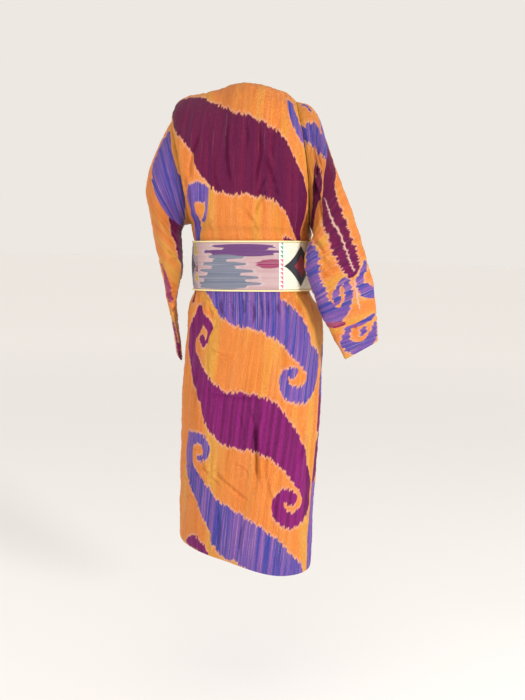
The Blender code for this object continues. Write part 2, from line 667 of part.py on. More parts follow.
def robe_pieces(sheets):
    """The name of each piece, the part that it is cut from, and its cells there."""
    back = sheets["back"]
    seam_left, seam_right = LEFT_STRIP_COLUMNS, LEFT_STRIP_COLUMNS + MAIN_COLUMNS
    skirt = slice(None, len(ROW_HEIGHTS) - 1 - ROW_HEIGHTS.index(UNDER_BELT_Z))
    side_left = cells_of(back, False, columns=slice(None, seam_left))
    side_right = cells_of(back, False, rows=skirt, columns=slice(seam_right, None))
    pieces = [
        ("back_side_left", "back", side_left),
        ("back_side_right", "back", side_right),
        ("back_centre", "back", ~(side_left | side_right)),
    ]
    pieces += [(name, name, cells_of(sheets[name], False)) for name in ("front_left", "front_right")]
    for sleeve in SLEEVES:
        part = f"sleeve_{sleeve.side}"
        cuts = {
            "upper": slice(None, sleeve.lower_from),
            "lower": slice(sleeve.lower_from, sleeve.end_from),
            "end": slice(sleeve.end_from, None),
        }
        pieces += [(f"{part}_{n}", part, cells_of(sheets[part], True, rows=r)) for n, r in cuts.items()]
    return pieces


def belt_lift(share):
    """How far the belt stands off the body's ring: over the lapped fronts, and at its own lap."""
    away = 0.5 - np.abs((np.asarray(share) + 0.5) % 1.0 - 0.5)
    over_fronts = FRONT_LAP_RISE * smooth(away, 0.21, 0.13)
    over_belt = BELT_LAP_RISE * smooth(share, 0.37, 0.45)
    return BELT_CLEARANCE + over_fronts + over_belt


def belt_row(z, shares, lift):
    """A row of points that stands off the held robe by the belt's own lift and a further one."""
    shares = np.asarray(shares, float)
    away = outward(body_ring, (HELD_TOP_Z + HELD_FOOT_Z) / 2, shares)
    row = held_row(z, shares) + away * (belt_lift(shares) + lift)[:, None]
    row[:, 2] -= BELT_TILT * row[:, 0] / 0.15
    return row


def belt_shares(start, end, step=BELT_STEP):
    return np.linspace(start, end, round(abs(end - start) / step) + 1)


def add_belt_wall(name, outer, inner, finish):
    cells = cells_of(outer, False)
    outer, inner = (drawn_back(grid, cells) for grid in (outer, inner))
    return add_wall(name, outer, outer, inner, cells, finish)


def add_belt_panel(panel, finish):
    shares = belt_shares(panel.start, panel.end)
    outer, inner = (
        np.array([belt_row(z, shares, lift) for z in (BELT_FOOT_Z, BELT_TOP_Z)])
        for lift in (BELT_CLOTH, 0.0)
    )
    return add_belt_wall(panel.name, outer, inner, finish)


def add_piping(name, z, finish):
    """A cord sewn along one edge of the belt, from one end of the belt to the other."""
    shares = belt_shares(0.5 + BELT_LAP, -0.5 - BELT_LAP, PIPING_STEP)
    line = belt_row(z, shares, PIPING_RADIUS)
    away = outward(body_ring, z, shares)
    rings = []
    for side in range(PIPING_SIDES):
        turn = 2 * math.pi * (side + 0.5) / PIPING_SIDES
        rings.append(line + PIPING_RADIUS * (math.cos(turn) * away + [0, 0, math.sin(turn)]))
    points = np.array(rings).transpose(1, 0, 2).reshape(-1, 3)
    faces = []
    for i in range(len(shares) - 1):
        for j in range(PIPING_SIDES):
            k = (j + 1) % PIPING_SIDES
            low, high = i * PIPING_SIDES, (i + 1) * PIPING_SIDES
            faces.append((low + j, low + k, high + k, high + j))
    faces.append(tuple(range(PIPING_SIDES))[::-1])
    faces.append(tuple(len(points) - PIPING_SIDES + j for j in range(PIPING_SIDES)))
    return add_object(name, points, faces, finish)


def add_applique(name, share, half_share, half_height, base, finish):
    """A diamond with hollowed sides, whose points are the belt's own, moved out."""
    middle = (BELT_TOP_Z + BELT_FOOT_Z) / 2
    shares = belt_shares(share + half_share, share - half_share, APPLIQUE_STEP)
    narrow = np.maximum(1 - np.abs(shares - share) / half_share, APPLIQUE_TIP)
    reach = half_height * (APPLIQUE_HOLLOW * narrow**2 + (1 - APPLIQUE_HOLLOW) * narrow)
    walls = []
    for lift in (base + APPLIQUE_CLOTH, base):
        foot, top = (belt_row(z, shares, lift) for z in (BELT_FOOT_Z, BELT_TOP_Z))
        rows = []
        for climb in (-1, 1):
            height = (middle + climb * reach - BELT_FOOT_Z) / (BELT_TOP_Z - BELT_FOOT_Z)
            rows.append(foot + (top - foot) * height[:, None])
        walls.append(np.array(rows))
    return add_belt_wall(name, *walls, finish)


def build_robe():
    silk = material("ikat_silk", ORANGE, 0.5)
    sheets = robe_sheets()
    normals = {name: grid_normals(grid, name.startswith("sleeve")) for name, grid in sheets.items()}
    share_seam_normals(sheets, normals)
    for name, part, cells in robe_pieces(sheets):
        outer = drawn_back(sheets[part], cells)
        add_wall(name, sheets[part], outer, outer - normals[part] * CLOTH, cells, silk)


def build_belt():
    finishes = {
        "belt_back": material("belt_ikat", PALE_PINK, 0.7),
        "belt_strip": material("belt_ivory", IVORY, 0.75),
        "belt_side_right": material("belt_ivory", IVORY, 0.75),
        "belt_side_left": material("belt_ivory", IVORY, 0.75),
    }
    plain = material("belt_ikat", PALE_PINK, 0.7)
    for panel in BELT_PANELS:
        add_belt_panel(panel, finishes.get(panel.name, plain))
    cream = material("piping_cream", CREAM, 0.6)
    offset = PIPING_RADIUS + 2 * SEAM_GAP
    add_piping("belt_piping_top", BELT_TOP_Z + offset, cream)
    add_piping("belt_piping_foot", BELT_FOOT_Z - offset, cream)
    black, red = material("applique_black", BLACK, 0.8), material("applique_red", RED, 0.7)
    on_belt = BELT_CLOTH + SEAM_GAP
    on_diamond = on_belt + APPLIQUE_CLOTH + SEAM_GAP
    for a in APPLIQUES:
        add_applique(f"diamond_{a.side}", a.share, a.half_share, a.half_height, on_belt, black)
        patch = (a.patch_half_share, a.patch_half_height)
        add_applique(f"patch_{a.side}", a.share, *patch, on_diamond, red)


def main():
    for old in list(bpy.data.objects):
        bpy.data.objects.remove(old, do_unlink=True)
    build_robe()
    build_belt()


main()
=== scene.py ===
"""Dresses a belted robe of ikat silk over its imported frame: cloth, dyed pattern, seams, belt and light.

Metres, +Z up. The back faces +Y and the wearer's left is +X. The robe hangs hollow.
"""

import logging
import math
from dataclasses import dataclass, replace
from enum import Enum
from typing import Callable, Sequence

import bpy
import numpy as np
from mathutils import Matrix, Vector, noise
from mathutils.kdtree import KDTree

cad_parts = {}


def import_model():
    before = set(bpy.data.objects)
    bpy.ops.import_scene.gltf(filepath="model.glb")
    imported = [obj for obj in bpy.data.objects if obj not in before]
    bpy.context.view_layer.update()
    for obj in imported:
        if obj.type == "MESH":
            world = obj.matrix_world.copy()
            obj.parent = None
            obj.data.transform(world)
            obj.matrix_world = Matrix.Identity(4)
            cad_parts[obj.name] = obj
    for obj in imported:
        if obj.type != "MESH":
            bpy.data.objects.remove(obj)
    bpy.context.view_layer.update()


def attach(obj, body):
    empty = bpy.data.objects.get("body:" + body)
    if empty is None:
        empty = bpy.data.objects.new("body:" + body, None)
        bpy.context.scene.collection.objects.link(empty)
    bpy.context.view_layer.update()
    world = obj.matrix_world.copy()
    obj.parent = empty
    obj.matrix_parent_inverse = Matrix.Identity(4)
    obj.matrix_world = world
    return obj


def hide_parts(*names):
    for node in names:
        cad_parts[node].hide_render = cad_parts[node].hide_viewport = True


Array = np.ndarray
log = logging.getLogger("robe")


class Side(Enum):
    """The wearer's side that a piece is on."""

    LEFT = 1
    RIGHT = -1


class Facing(Enum):
    """The side of the chest that a sheet covers."""

    BACK = 1
    FRONT = -1


@dataclass(frozen=True)
class BodyRing:
    """A level ring of the body: its reach to each side, its turn, and how square it is."""

    z: float
    left: float
    right: float
    back: float
    front: float
    turn_deg: float = 0.0
    square: float = 2.3


@dataclass(frozen=True)
class SeamRow:
    """Where the long seams stand at one height, as shares of the ring from the centre back."""

    z: float
    back_left: float
    back_right: float
    lap: float
    side_left: float = 0.25
    side_right: float = -0.25


@dataclass(frozen=True)
class RidgePoint:
    """A point of the top edge over the shoulders and the nape."""

    x: float
    y: float
    z: float


@dataclass(frozen=True)
class ProfilePoint:
    """The depth of the chest on its middle line."""

    z: float
    back: float
    front: float


@dataclass(frozen=True)
class SleeveRing:
    """A section of a sleeve: its outer and inner edge, and its depth."""

    outer_x: float
    outer_z: float
    inner_x: float
    inner_z: float
    y: float
    back: float
    front: float


@dataclass(frozen=True)
class BodyFold:
    """A long fold of the skirt, placed round the ring."""

    share: float
    width: float
    depth: float
    top: float
    foot: float


@dataclass(frozen=True)
class SleeveFold:
    """A soft fold of a sleeve, placed along and round it."""

    along: float
    round_deg: float
    half_long: float
    half_round_deg: float
    depth: float
    slant_deg: float


UNDERARM_Z = -0.335
HELD_TOP_Z = -0.369
HELD_FOOT_Z = -0.508
UNDER_BELT_Z = -0.441
HEM_Z = -1.1885
HEM_TILT = 0.008
HEM_DROP = 0.075
HEM_LIFT = 0.018
HEM_LIFT_FROM_X = -0.12
HEM_LIFT_TO_X = 0.05
NECK_LEFT_X = 0.080
NECK_RIGHT_X = -0.067
NECK_FRONT_SAG = 0.020
NECK_FRONT_REACH = 0.045
CHEST_SQUARE = 3.0
HEM_HALF_WIDTH = 0.17
SEAM_HOLLOW = 0.024
LIFT_FROM_RISE = 0.42
RING_POINTS = 721
CHEST_POINTS = 361
FRONT_LAP_RISE = 0.0036
FRONT_LAP_FADE = (0.85, 0.47)
FRONT_LAP_START = (0.22, 0.54)
FRONT_EDGE_CURVE = 0.9
ROW_HEIGHTS = (
    -0.335, -0.353, -0.369, -0.441, -0.508, -0.521, -0.541, -0.576,
    -0.625, -0.69, -0.765, -0.845, -0.928, -1.014, -1.1, -1.1885,
)
BODY_RINGS = (
    BodyRing(-0.335, 0.156, -0.143, 0.108, -0.108),
    BodyRing(-0.353, 0.157, -0.148, 0.105, -0.107),
    BodyRing(-0.369, 0.1515, -0.146, 0.098, -0.1),
    BodyRing(-0.508, 0.147, -0.15, 0.1, -0.101),
    BodyRing(-0.532, 0.156, -0.167, 0.11, -0.108, 0.5),
    BodyRing(-0.57, 0.1615, -0.1815, 0.119, -0.112, 1.5),
    BodyRing(-0.62, 0.1635, -0.186, 0.124, -0.115, 3.0),
    BodyRing(-0.7, 0.17, -0.1865, 0.126, -0.116, 5.5),
    BodyRing(-0.85, 0.1765, -0.1855, 0.124, -0.117, 10.0, 2.25),
    BodyRing(-1.0, 0.1805, -0.181, 0.122, -0.116, 15.0, 2.2),
    BodyRing(-1.2, 0.189, -0.185, 0.12, -0.116, 22.0, 2.1),
)

SEAM_ROWS = (
    SeamRow(-0.335, 0.132, -0.168, 0.06),
    SeamRow(-0.369, 0.165, -0.168, 0.06),
    SeamRow(-0.441, 0.16, -0.168, 0.061),
    SeamRow(-0.508, 0.142, -0.17, 0.062),
    SeamRow(-0.541, 0.092, -0.175, 0.063),
    SeamRow(-0.625, 0.1, -0.189, 0.065),
    SeamRow(-0.73, 0.085, -0.197, 0.068),
    SeamRow(-0.86, 0.065, -0.208, 0.071),
    SeamRow(-1.02, 0.049, -0.223, 0.074),
    SeamRow(-1.2, 0.037, -0.235, 0.078),
)

RIDGE = (
    RidgePoint(0.215, 0.0, -0.0775),
    RidgePoint(0.209, 0.002, -0.051),
    RidgePoint(0.193, 0.005, -0.028),
    RidgePoint(0.172, 0.007, -0.0185),
    RidgePoint(0.125, 0.009, -0.0088),
    RidgePoint(0.08, 0.013, 0.0035),
    RidgePoint(0.062, 0.028, 0.0065),
    RidgePoint(0.033, 0.046, 0.008),
    RidgePoint(0.001, 0.055, 0.0062),
    RidgePoint(-0.032, 0.049, 0.0015),
    RidgePoint(-0.054, 0.032, -0.0035),
    RidgePoint(-0.067, 0.013, -0.006),
    RidgePoint(-0.083, 0.01, -0.015),
    RidgePoint(-0.1, 0.004, -0.028),
)

CHEST_PROFILE = (
    ProfilePoint(-0.335, 0.108, -0.108),
    ProfilePoint(-0.25, 0.115, -0.114),
    ProfilePoint(-0.15, 0.116, -0.116),
    ProfilePoint(-0.09, 0.106, -0.104),
    ProfilePoint(-0.03, 0.082, -0.066),
    ProfilePoint(0.008, 0.055, -0.03),
)

LEFT_SLEEVE = (
    SleeveRing(0.215, -0.0775, 0.156, -0.335, 0.0, 0.085, 0.079),
    SleeveRing(0.233, -0.114, 0.172, -0.337, 0.004, 0.081, 0.079),
    SleeveRing(0.251, -0.157, 0.181, -0.34, 0.008, 0.078, 0.078),
    SleeveRing(0.267, -0.199, 0.1845, -0.348, 0.011, 0.075, 0.076),
    SleeveRing(0.2755, -0.24, 0.185, -0.362, 0.012, 0.072, 0.074),
    SleeveRing(0.272, -0.285, 0.1845, -0.383, 0.01, 0.07, 0.071),
    SleeveRing(0.2645, -0.332, 0.1835, -0.41, 0.006, 0.067, 0.068),
    SleeveRing(0.258, -0.378, 0.1825, -0.445, -0.001, 0.065, 0.066),
    SleeveRing(0.248, -0.425, 0.189, -0.482, -0.009, 0.062, 0.063),
    SleeveRing(0.2375, -0.472, 0.1985, -0.512, -0.016, 0.06, 0.061),
    SleeveRing(0.2285, -0.525, 0.203, -0.545, -0.024, 0.058, 0.058),
    SleeveRing(0.219, -0.576, 0.1995, -0.592, -0.034, 0.056, 0.056),
    SleeveRing(0.2118, -0.63, 0.195, -0.645, -0.047, 0.053, 0.053),
    SleeveRing(0.2052, -0.683, 0.1912, -0.692, -0.058, 0.05, 0.05),
)

RIGHT_SLEEVE = (
    SleeveRing(-0.1, -0.028, -0.143, -0.335, 0.0, 0.085, 0.079),
    SleeveRing(-0.139, -0.043, -0.147, -0.339, 0.006, 0.083, 0.077),
    SleeveRing(-0.161, -0.077, -0.151, -0.344, 0.012, 0.08, 0.073),
    SleeveRing(-0.1765, -0.118, -0.154, -0.35, 0.02, 0.075, 0.068),
    SleeveRing(-0.193, -0.161, -0.156, -0.357, 0.029, 0.069, 0.062),
    SleeveRing(-0.211, -0.206, -0.154, -0.367, 0.039, 0.062, 0.055),
    SleeveRing(-0.233, -0.256, -0.146, -0.385, 0.05, 0.055, 0.049),
    SleeveRing(-0.256, -0.313, -0.1385, -0.41, 0.062, 0.048, 0.042),
    SleeveRing(-0.276, -0.37, -0.144, -0.448, 0.073, 0.042, 0.037),
    SleeveRing(-0.2935, -0.42, -0.166, -0.503, 0.082, 0.037, 0.033),
    SleeveRing(-0.307, -0.464, -0.179, -0.533, 0.086, 0.033, 0.03),
    SleeveRing(-0.315, -0.51, -0.191, -0.56, 0.089, 0.029, 0.027),
    SleeveRing(-0.32, -0.545, -0.206, -0.583, 0.09, 0.025, 0.023),
    SleeveRing(-0.3235, -0.58, -0.226, -0.618, 0.088, 0.02, 0.018),
    SleeveRing(-0.3265, -0.609, -0.2484, -0.657, 0.086, 0.015, 0.014),
)

BODY_FOLDS = (
    BodyFold(0.03, 0.016, -0.003, -0.69, -1.05),
    BodyFold(-0.04, 0.02, -0.0035, -0.76, -1.172),
    BodyFold(0.085, 0.022, 0.0035, -0.54, -0.9),
    BodyFold(-0.12, 0.024, -0.004, -0.82, -1.172),
    BodyFold(0.16, 0.02, -0.0045, -0.545, -1.172),
    BodyFold(-0.215, 0.02, -0.004, -0.56, -1.0),
    BodyFold(0.33, 0.026, -0.006, -0.53, -1.172),
    BodyFold(-0.33, 0.026, -0.006, -0.53, -1.172),
    BodyFold(0.43, 0.022, 0.004, -0.56, -1.172),
    BodyFold(-0.405, 0.022, 0.0045, -0.6, -1.172),
)

LEFT_SLEEVE_FOLDS = (
    SleeveFold(2.6, 120.0, 2.2, 20.0, -0.006, 10.0),
    SleeveFold(4.3, 165.0, 0.8, 42.0, -0.0055, 0.0),
    SleeveFold(6.0, 40.0, 0.9, 50.0, -0.003, 8.0),
    SleeveFold(9.8, 120.0, 2.0, 20.0, -0.0045, 4.0),
)

RIGHT_SLEEVE_FOLDS = (
    SleeveFold(2.8, 100.0, 0.9, 34.0, -0.0065, 16.0),
    SleeveFold(3.6, 142.0, 2.2, 22.0, -0.007, 6.0),
    SleeveFold(6.6, 118.0, 1.4, 20.0, -0.004, -14.0),
    SleeveFold(7.4, 88.0, 1.2, 20.0, -0.0034, 12.0),
    SleeveFold(6.2, 262.0, 1.4, 34.0, -0.0035, 0.0),
)


def smooth(value: Array | float, low: float, high: float) -> Array:
    """An even S-curve from 0 at low to 1 at high.

    Args:
        value: What is read.
        low: Where the curve is 0. It may be above high.
        high: Where the curve is 1.

    Returns:
        The curve's value, 0 to 1.
    """
    share = np.clip((np.asarray(value, float) - low) / (high - low), 0.0, 1.0)
    return share * share * (3.0 - 2.0 * share)


def through(knots: Sequence[float], values: Sequence[float], at: Array | float) -> Array:
    """Reads a smooth curve through a table.

    Args:
        knots: Where the table's values stand, rising or falling.
        values: The values there.
        at: The places to read.

    Returns:
        The values at those places.
    """
    keys, heights = np.asarray(knots, float), np.asarray(values, float)
    if keys[0] > keys[-1]:
        keys, heights = keys[::-1], heights[::-1]
    at = np.clip(np.asarray(at, float), keys[0], keys[-1])
    slopes = np.gradient(heights, keys)
    low = np.clip(np.searchsorted(keys, at) - 1, 0, len(keys) - 2)
    span = keys[low + 1] - keys[low]
    t = (at - keys[low]) / span
    return (
        heights[low] * (1 + 2 * t) * (1 - t) ** 2
        + slopes[low] * span * t * (1 - t) ** 2
        + heights[low + 1] * t * t * (3 - 2 * t)
        + slopes[low + 1] * span * t * t * (t - 1)
    )


def column_of(table: Sequence[object], name: str, key: str, at: Array | float) -> Array:
    """Reads one named column of a table smoothly at places of its key column."""
    return through([getattr(r, key) for r in table], [getattr(r, name) for r in table], at)


def spread_evenly(line: Array, shares: Array) -> Array:
    """Finds the points at shares of a polyline's length.

    Args:
        line: The polyline's points.
        shares: Shares of its length, 0 to 1.

    Returns:
        One point for each share.
    """
    steps = np.linalg.norm(np.diff(line, axis=0), axis=1)
    run = np.concatenate([[0.0], np.cumsum(steps)])
    at = np.asarray(shares) * run[-1]
    return np.stack([np.interp(at, run, line[:, k]) for k in range(3)], axis=1)


def power(value: Array, exponent: float) -> Array:
    """Raises the size of each value to a power and keeps its sign."""
    return np.sign(value) * np.abs(value) ** exponent


def steps_between(stops: Sequence[float], counts: Sequence[int]) -> Array:
    """Even steps from each stop to the next."""
    parts = [np.linspace(a, b, n + 1)[:-1] for a, b, n in zip(stops, stops[1:], counts)]
    return np.concatenate([*parts, [stops[-1]]])


@dataclass(frozen=True)
class BodyForm:
    """The worn form of the robe's body below the underarm, with its folds and gathers."""

    gather_count: int = 17
    gather_below: float = 0.0026
    gather_above: float = 0.0014
    gather_peak_z: float = -0.535
    gather_end_z: float = -0.660
    fold_fade: float = 0.10
    held_fade: float = 0.02
    hem_slope_from_z: float = -0.55

    def ring(self, z: float, shares: Array) -> Array:
        """Points of the level ring at one height, without folds.

        Args:
            z: The height.
            shares: Shares of the ring's length from the centre back towards the left.

        Returns:
            One point for each share.
        """
        names = ("left", "right", "back", "front", "turn_deg", "square")
        left, right, back, front, turn, square = (column_of(BODY_RINGS, n, "z", z) for n in names)
        angle = np.linspace(-math.pi, math.pi, RING_POINTS)
        x = power(np.sin(angle), 2 / square) * (left - right) / 2
        y = power(np.cos(angle), 2 / square) * (back - front) / 2
        turn = -math.radians(turn)
        line = np.stack(
            [
                (left + right) / 2 + x * math.cos(turn) - y * math.sin(turn),
                (back + front) / 2 + x * math.sin(turn) + y * math.cos(turn),
                np.full_like(x, z),
            ],
            axis=1,
        )
        return spread_evenly(line, (np.asarray(shares) + 0.5) % 1.0)

    def held_ring(self, z: float, shares: Array) -> Array:
        """The ring at one height, straight between the heights where the belt holds it."""
        if not HELD_FOOT_Z < z < HELD_TOP_Z:
            return self.ring(z, shares)
        share = (z - HELD_FOOT_Z) / (HELD_TOP_Z - HELD_FOOT_Z)
        return self.ring(HELD_FOOT_Z, shares) * (1 - share) + self.ring(HELD_TOP_Z, shares) * share

    def length(self, z: float) -> float:
        """The length of the ring at one height."""
        ring = self.ring(z, np.linspace(-0.5, 0.499, 200))
        return float(np.linalg.norm(ring - np.roll(ring, 1, axis=0), axis=1).sum())

    def outward(self, z: float, shares: Array) -> Array:
        """Level unit vectors that point out of the ring."""
        step = 0.004
        along = self.ring(z, np.asarray(shares) + step) - self.ring(z, np.asarray(shares) - step)
        away = np.stack([along[:, 1], -along[:, 0], np.zeros(len(along))], axis=1)
        middle = self.ring(z, np.array([0.0, 0.25, 0.5, -0.25])).mean(axis=0)
        away *= np.sign(((self.ring(z, shares) - middle) * away).sum(axis=1))[:, None]
        return away / np.linalg.norm(away, axis=1)[:, None]

    def relief(self, z: float, shares: Array) -> Array:
        """How far the folds and gathers push the cloth outwards at one height."""
        shares = np.asarray(shares, float)
        length = self.length(z)
        relief = np.zeros_like(shares)
        for fold in BODY_FOLDS:
            away = ((shares - fold.share + 0.5) % 1.0 - 0.5) * length
            reach = smooth(z, fold.top, fold.top - self.fold_fade)
            if fold.foot > HEM_Z:
                reach = reach * smooth(z, fold.foot, fold.foot + self.fold_fade)
            relief += fold.depth * np.exp(-((away / fold.width) ** 2)) * reach
        turn = 2 * math.pi * shares
        wander = 0.9 * np.sin(3 * turn) + 0.5 * np.sin(7 * turn + 1)
        wave = np.cos(self.gather_count * turn + wander)
        below = self.gather_below * smooth(z, HELD_FOOT_Z, self.gather_peak_z)
        below = below * smooth(z, self.gather_end_z, self.gather_peak_z)
        above = self.gather_above * smooth(z, HELD_TOP_Z, HELD_TOP_Z + self.held_fade)
        above = above * smooth(z, UNDERARM_Z, HELD_TOP_Z + self.held_fade)
        return relief + (below + above) * wave

    def row(self, z: float, shares: Array) -> Array:
        """A row of the body's cloth, with its folds and the slope of the hem."""
        row = self.ring(z, shares) + self.outward(z, shares) * self.relief(z, shares)[:, None]
        slope = HEM_TILT * row[:, 0] / HEM_HALF_WIDTH - HEM_DROP * row[:, 1]
        slope += HEM_LIFT * smooth(row[:, 0], HEM_LIFT_FROM_X, HEM_LIFT_TO_X)
        row[:, 2] += smooth(z, self.hem_slope_from_z, HEM_Z) * slope
        return row


@dataclass(frozen=True)
class SleeveForm:
    """The worn form of a sleeve, as rings that follow each other from the armhole to the cuff."""

    side: Side
    rings: tuple[SleeveRing, ...]
    folds: tuple[SleeveFold, ...]
    lower_from: int
    end_from: int
    waist: float
    cuff_turn_deg: float
    waist_fades_by: float = 3.0
    cuff_square: float = 2.8

    def ring(self, at: float, round_rad: Array) -> Array:
        """Points round the sleeve at one place along it.

        Args:
            at: The place, counted in sections from the armhole.
            round_rad: 0 at the outer edge, a quarter turn at the back.

        Returns:
            One point for each turn.
        """
        index = np.arange(len(self.rings))
        names = ("outer_x", "outer_z", "inner_x", "inner_z", "y", "back", "front")
        read = {n: float(through(index, [getattr(r, n) for r in self.rings], at)) for n in names}
        outer = np.array([read["outer_x"], read["y"], read["outer_z"]])
        inner = np.array([read["inner_x"], read["y"], read["inner_z"]])
        middle, half = (outer + inner) / 2, (outer - inner) / 2
        depth = np.where(np.sin(round_rad) > 0, read["back"], read["front"])
        waist = self.waist * smooth(at, self.waist_fades_by, 0)
        turn = math.radians(self.cuff_turn_deg) * float(smooth(at, 2, 10))
        across = np.array([-math.sin(turn), math.cos(turn), 0.0])
        square = 2.0 + (self.cuff_square - 2.0) * smooth(at, 2, len(self.rings) - 1)
        ring = (
            middle
            + power(np.cos(round_rad), 2 / square)[:, None] * half
            + (power(np.sin(round_rad), 2 / square) * depth)[:, None] * across
            - (np.sin(round_rad) ** 2 * waist * self.side.value)[:, None] * np.array([1.0, 0, 0])
        )
        away = ring - middle
        away /= np.linalg.norm(away, axis=1)[:, None]
        relief = np.zeros(len(ring))
        for fold in self.folds:
            off = np.degrees(round_rad) - fold.round_deg - fold.slant_deg * (at - fold.along)
            off = (off + 180.0) % 360.0 - 180.0
            fade = math.exp(-(((at - fold.along) / fold.half_long) ** 2))
            relief += fold.depth * fade * np.exp(-((off / fold.half_round_deg) ** 2))
        return ring + away * (relief * smooth(at, 0.0, 1.5))[:, None]


BODY = BodyForm()
SLEEVES = {
    Side.LEFT: SleeveForm(Side.LEFT, LEFT_SLEEVE, LEFT_SLEEVE_FOLDS, 8, 11, 0.012, 13.0),
    Side.RIGHT: SleeveForm(Side.RIGHT, RIGHT_SLEEVE, RIGHT_SLEEVE_FOLDS, 9, 12, -0.017, 0.0),
}
SHOULDER_TIPS = (LEFT_SLEEVE[0].outer_x, RIGHT_SLEEVE[0].outer_x)


class ChestForm:
    """The worn form of the robe between the armholes, from the underarm up to the shoulders."""

    @staticmethod
    def ridge(x: Array, over_the_front: bool) -> Array:
        """Points of the top edge.

        Args:
            x: Where they stand.
            over_the_front: Whether the line dips before the neck, as the fronts' edge does.

        Returns:
            One point for each x.
        """
        keys = [p.x for p in RIDGE]
        y, z = (through(keys, [getattr(p, n) for p in RIDGE], x) for n in ("y", "z"))
        line = np.stack([x, y, z], axis=1)
        if over_the_front:
            share = np.clip((NECK_LEFT_X - x) / (NECK_LEFT_X - NECK_RIGHT_X), 0.0, 1.0)
            inside = (share > 0) & (share < 1)
            left, right = (
                np.array([through(keys, [getattr(p, n) for p in RIDGE], neck) for n in ("y", "z")])
                for neck in (NECK_LEFT_X, NECK_RIGHT_X)
            )
            level = left + (right - left) * share[:, None]
            dip = np.sin(math.pi * share)[:, None] * np.array([-NECK_FRONT_REACH, -NECK_FRONT_SAG])
            line[inside, 1:] = (level + dip)[inside]
        return line

    @classmethod
    def row(cls, rise: float, places: Array, facing: Facing) -> Array:
        """A row between the armholes.

        Args:
            rise: 0 at the underarm and 1 at the shoulder.
            places: 0 at the left armhole and 1 at the right one.
            facing: The back or the front.

        Returns:
            One point for each place.
        """
        turn = math.pi * (1 - facing.value * rise)
        left, right = (SLEEVES[s].ring(0.0, np.array([turn]))[0] for s in (Side.LEFT, Side.RIGHT))
        middle = (left + right) / 2
        name = "back" if facing is Facing.BACK else "front"
        profile = float(column_of(CHEST_PROFILE, name, "z", middle[2]))
        square = BODY_RINGS[0].square
        square += (CHEST_SQUARE - square) * smooth(rise, 0.0, 0.4)
        angle = np.linspace(-math.pi / 2, math.pi / 2, CHEST_POINTS)
        line = middle + power(np.sin(angle), 2 / square)[:, None] * (right - left) / 2
        line[:, 1] += power(np.cos(angle), 2 / square) * (profile - middle[1])
        row = spread_evenly(line, places)
        tips = cls.ridge(np.array(SHOULDER_TIPS), False)
        x = SHOULDER_TIPS[0] + (SHOULDER_TIPS[1] - SHOULDER_TIPS[0]) * places
        chord = tips[0] + (tips[1] - tips[0]) * places[:, None]
        lifted = left + (right - left) * places[:, None] + cls.ridge(x, facing is Facing.FRONT) - chord
        share = float(smooth(rise, LIFT_FROM_RISE, 1.0))
        return row * (1 - share) + lifted * share

    @classmethod
    def places_at(cls, rise: float, facing: Facing, x: Array) -> Array:
        """Where a row passes the given x, as places between 0 and 1."""
        dense = np.linspace(0.0, 1.0, 241)
        return np.interp(-np.asarray(x), -cls.row(rise, dense, facing)[:, 0], dense)


def all_cells(points: Array) -> Array:
    """A mark for each cell between a grid's points."""
    return np.ones((points.shape[0] - 1, points.shape[1] - 1), bool)


@dataclass
class ClothGrid:
    """A sheet of cloth as rows of points, each with its place on the cut cloth.

    Attributes:
        points: Rows by columns of points.
        across: How far each lies across the warp, in metres.
        along: How far each lies along the warp, in metres.
        cells: Which of the grid's cells the piece takes.
    """

    points: Array
    across: Array
    along: Array
    cells: Array

    def normals(self) -> Array:
        """Unit normals that point out of the garment."""
        rows, columns = np.gradient(self.points, axis=0), np.gradient(self.points, axis=1)
        normals = np.cross(rows, columns)
        return normals / np.maximum(np.linalg.norm(normals, axis=2), 1e-9)[:, :, None]

    def cut(self, rows: slice, columns: slice) -> "ClothGrid":
        """The part of the sheet within some rows and columns of points."""
        points = self.points[rows, columns].copy()
        return ClothGrid(points, self.across[rows, columns], self.along[rows, columns], all_cells(points))


def run_of(points: Array, axis: int) -> Array:
    """The length run along a grid's rows (axis 1) or columns (axis 0), from its first point."""
    steps = np.linalg.norm(np.diff(points, axis=axis), axis=2)
    pad = [(0, 0), (0, 0)]
    pad[axis] = (1, 0)
    return np.cumsum(np.pad(steps, pad), axis=axis)


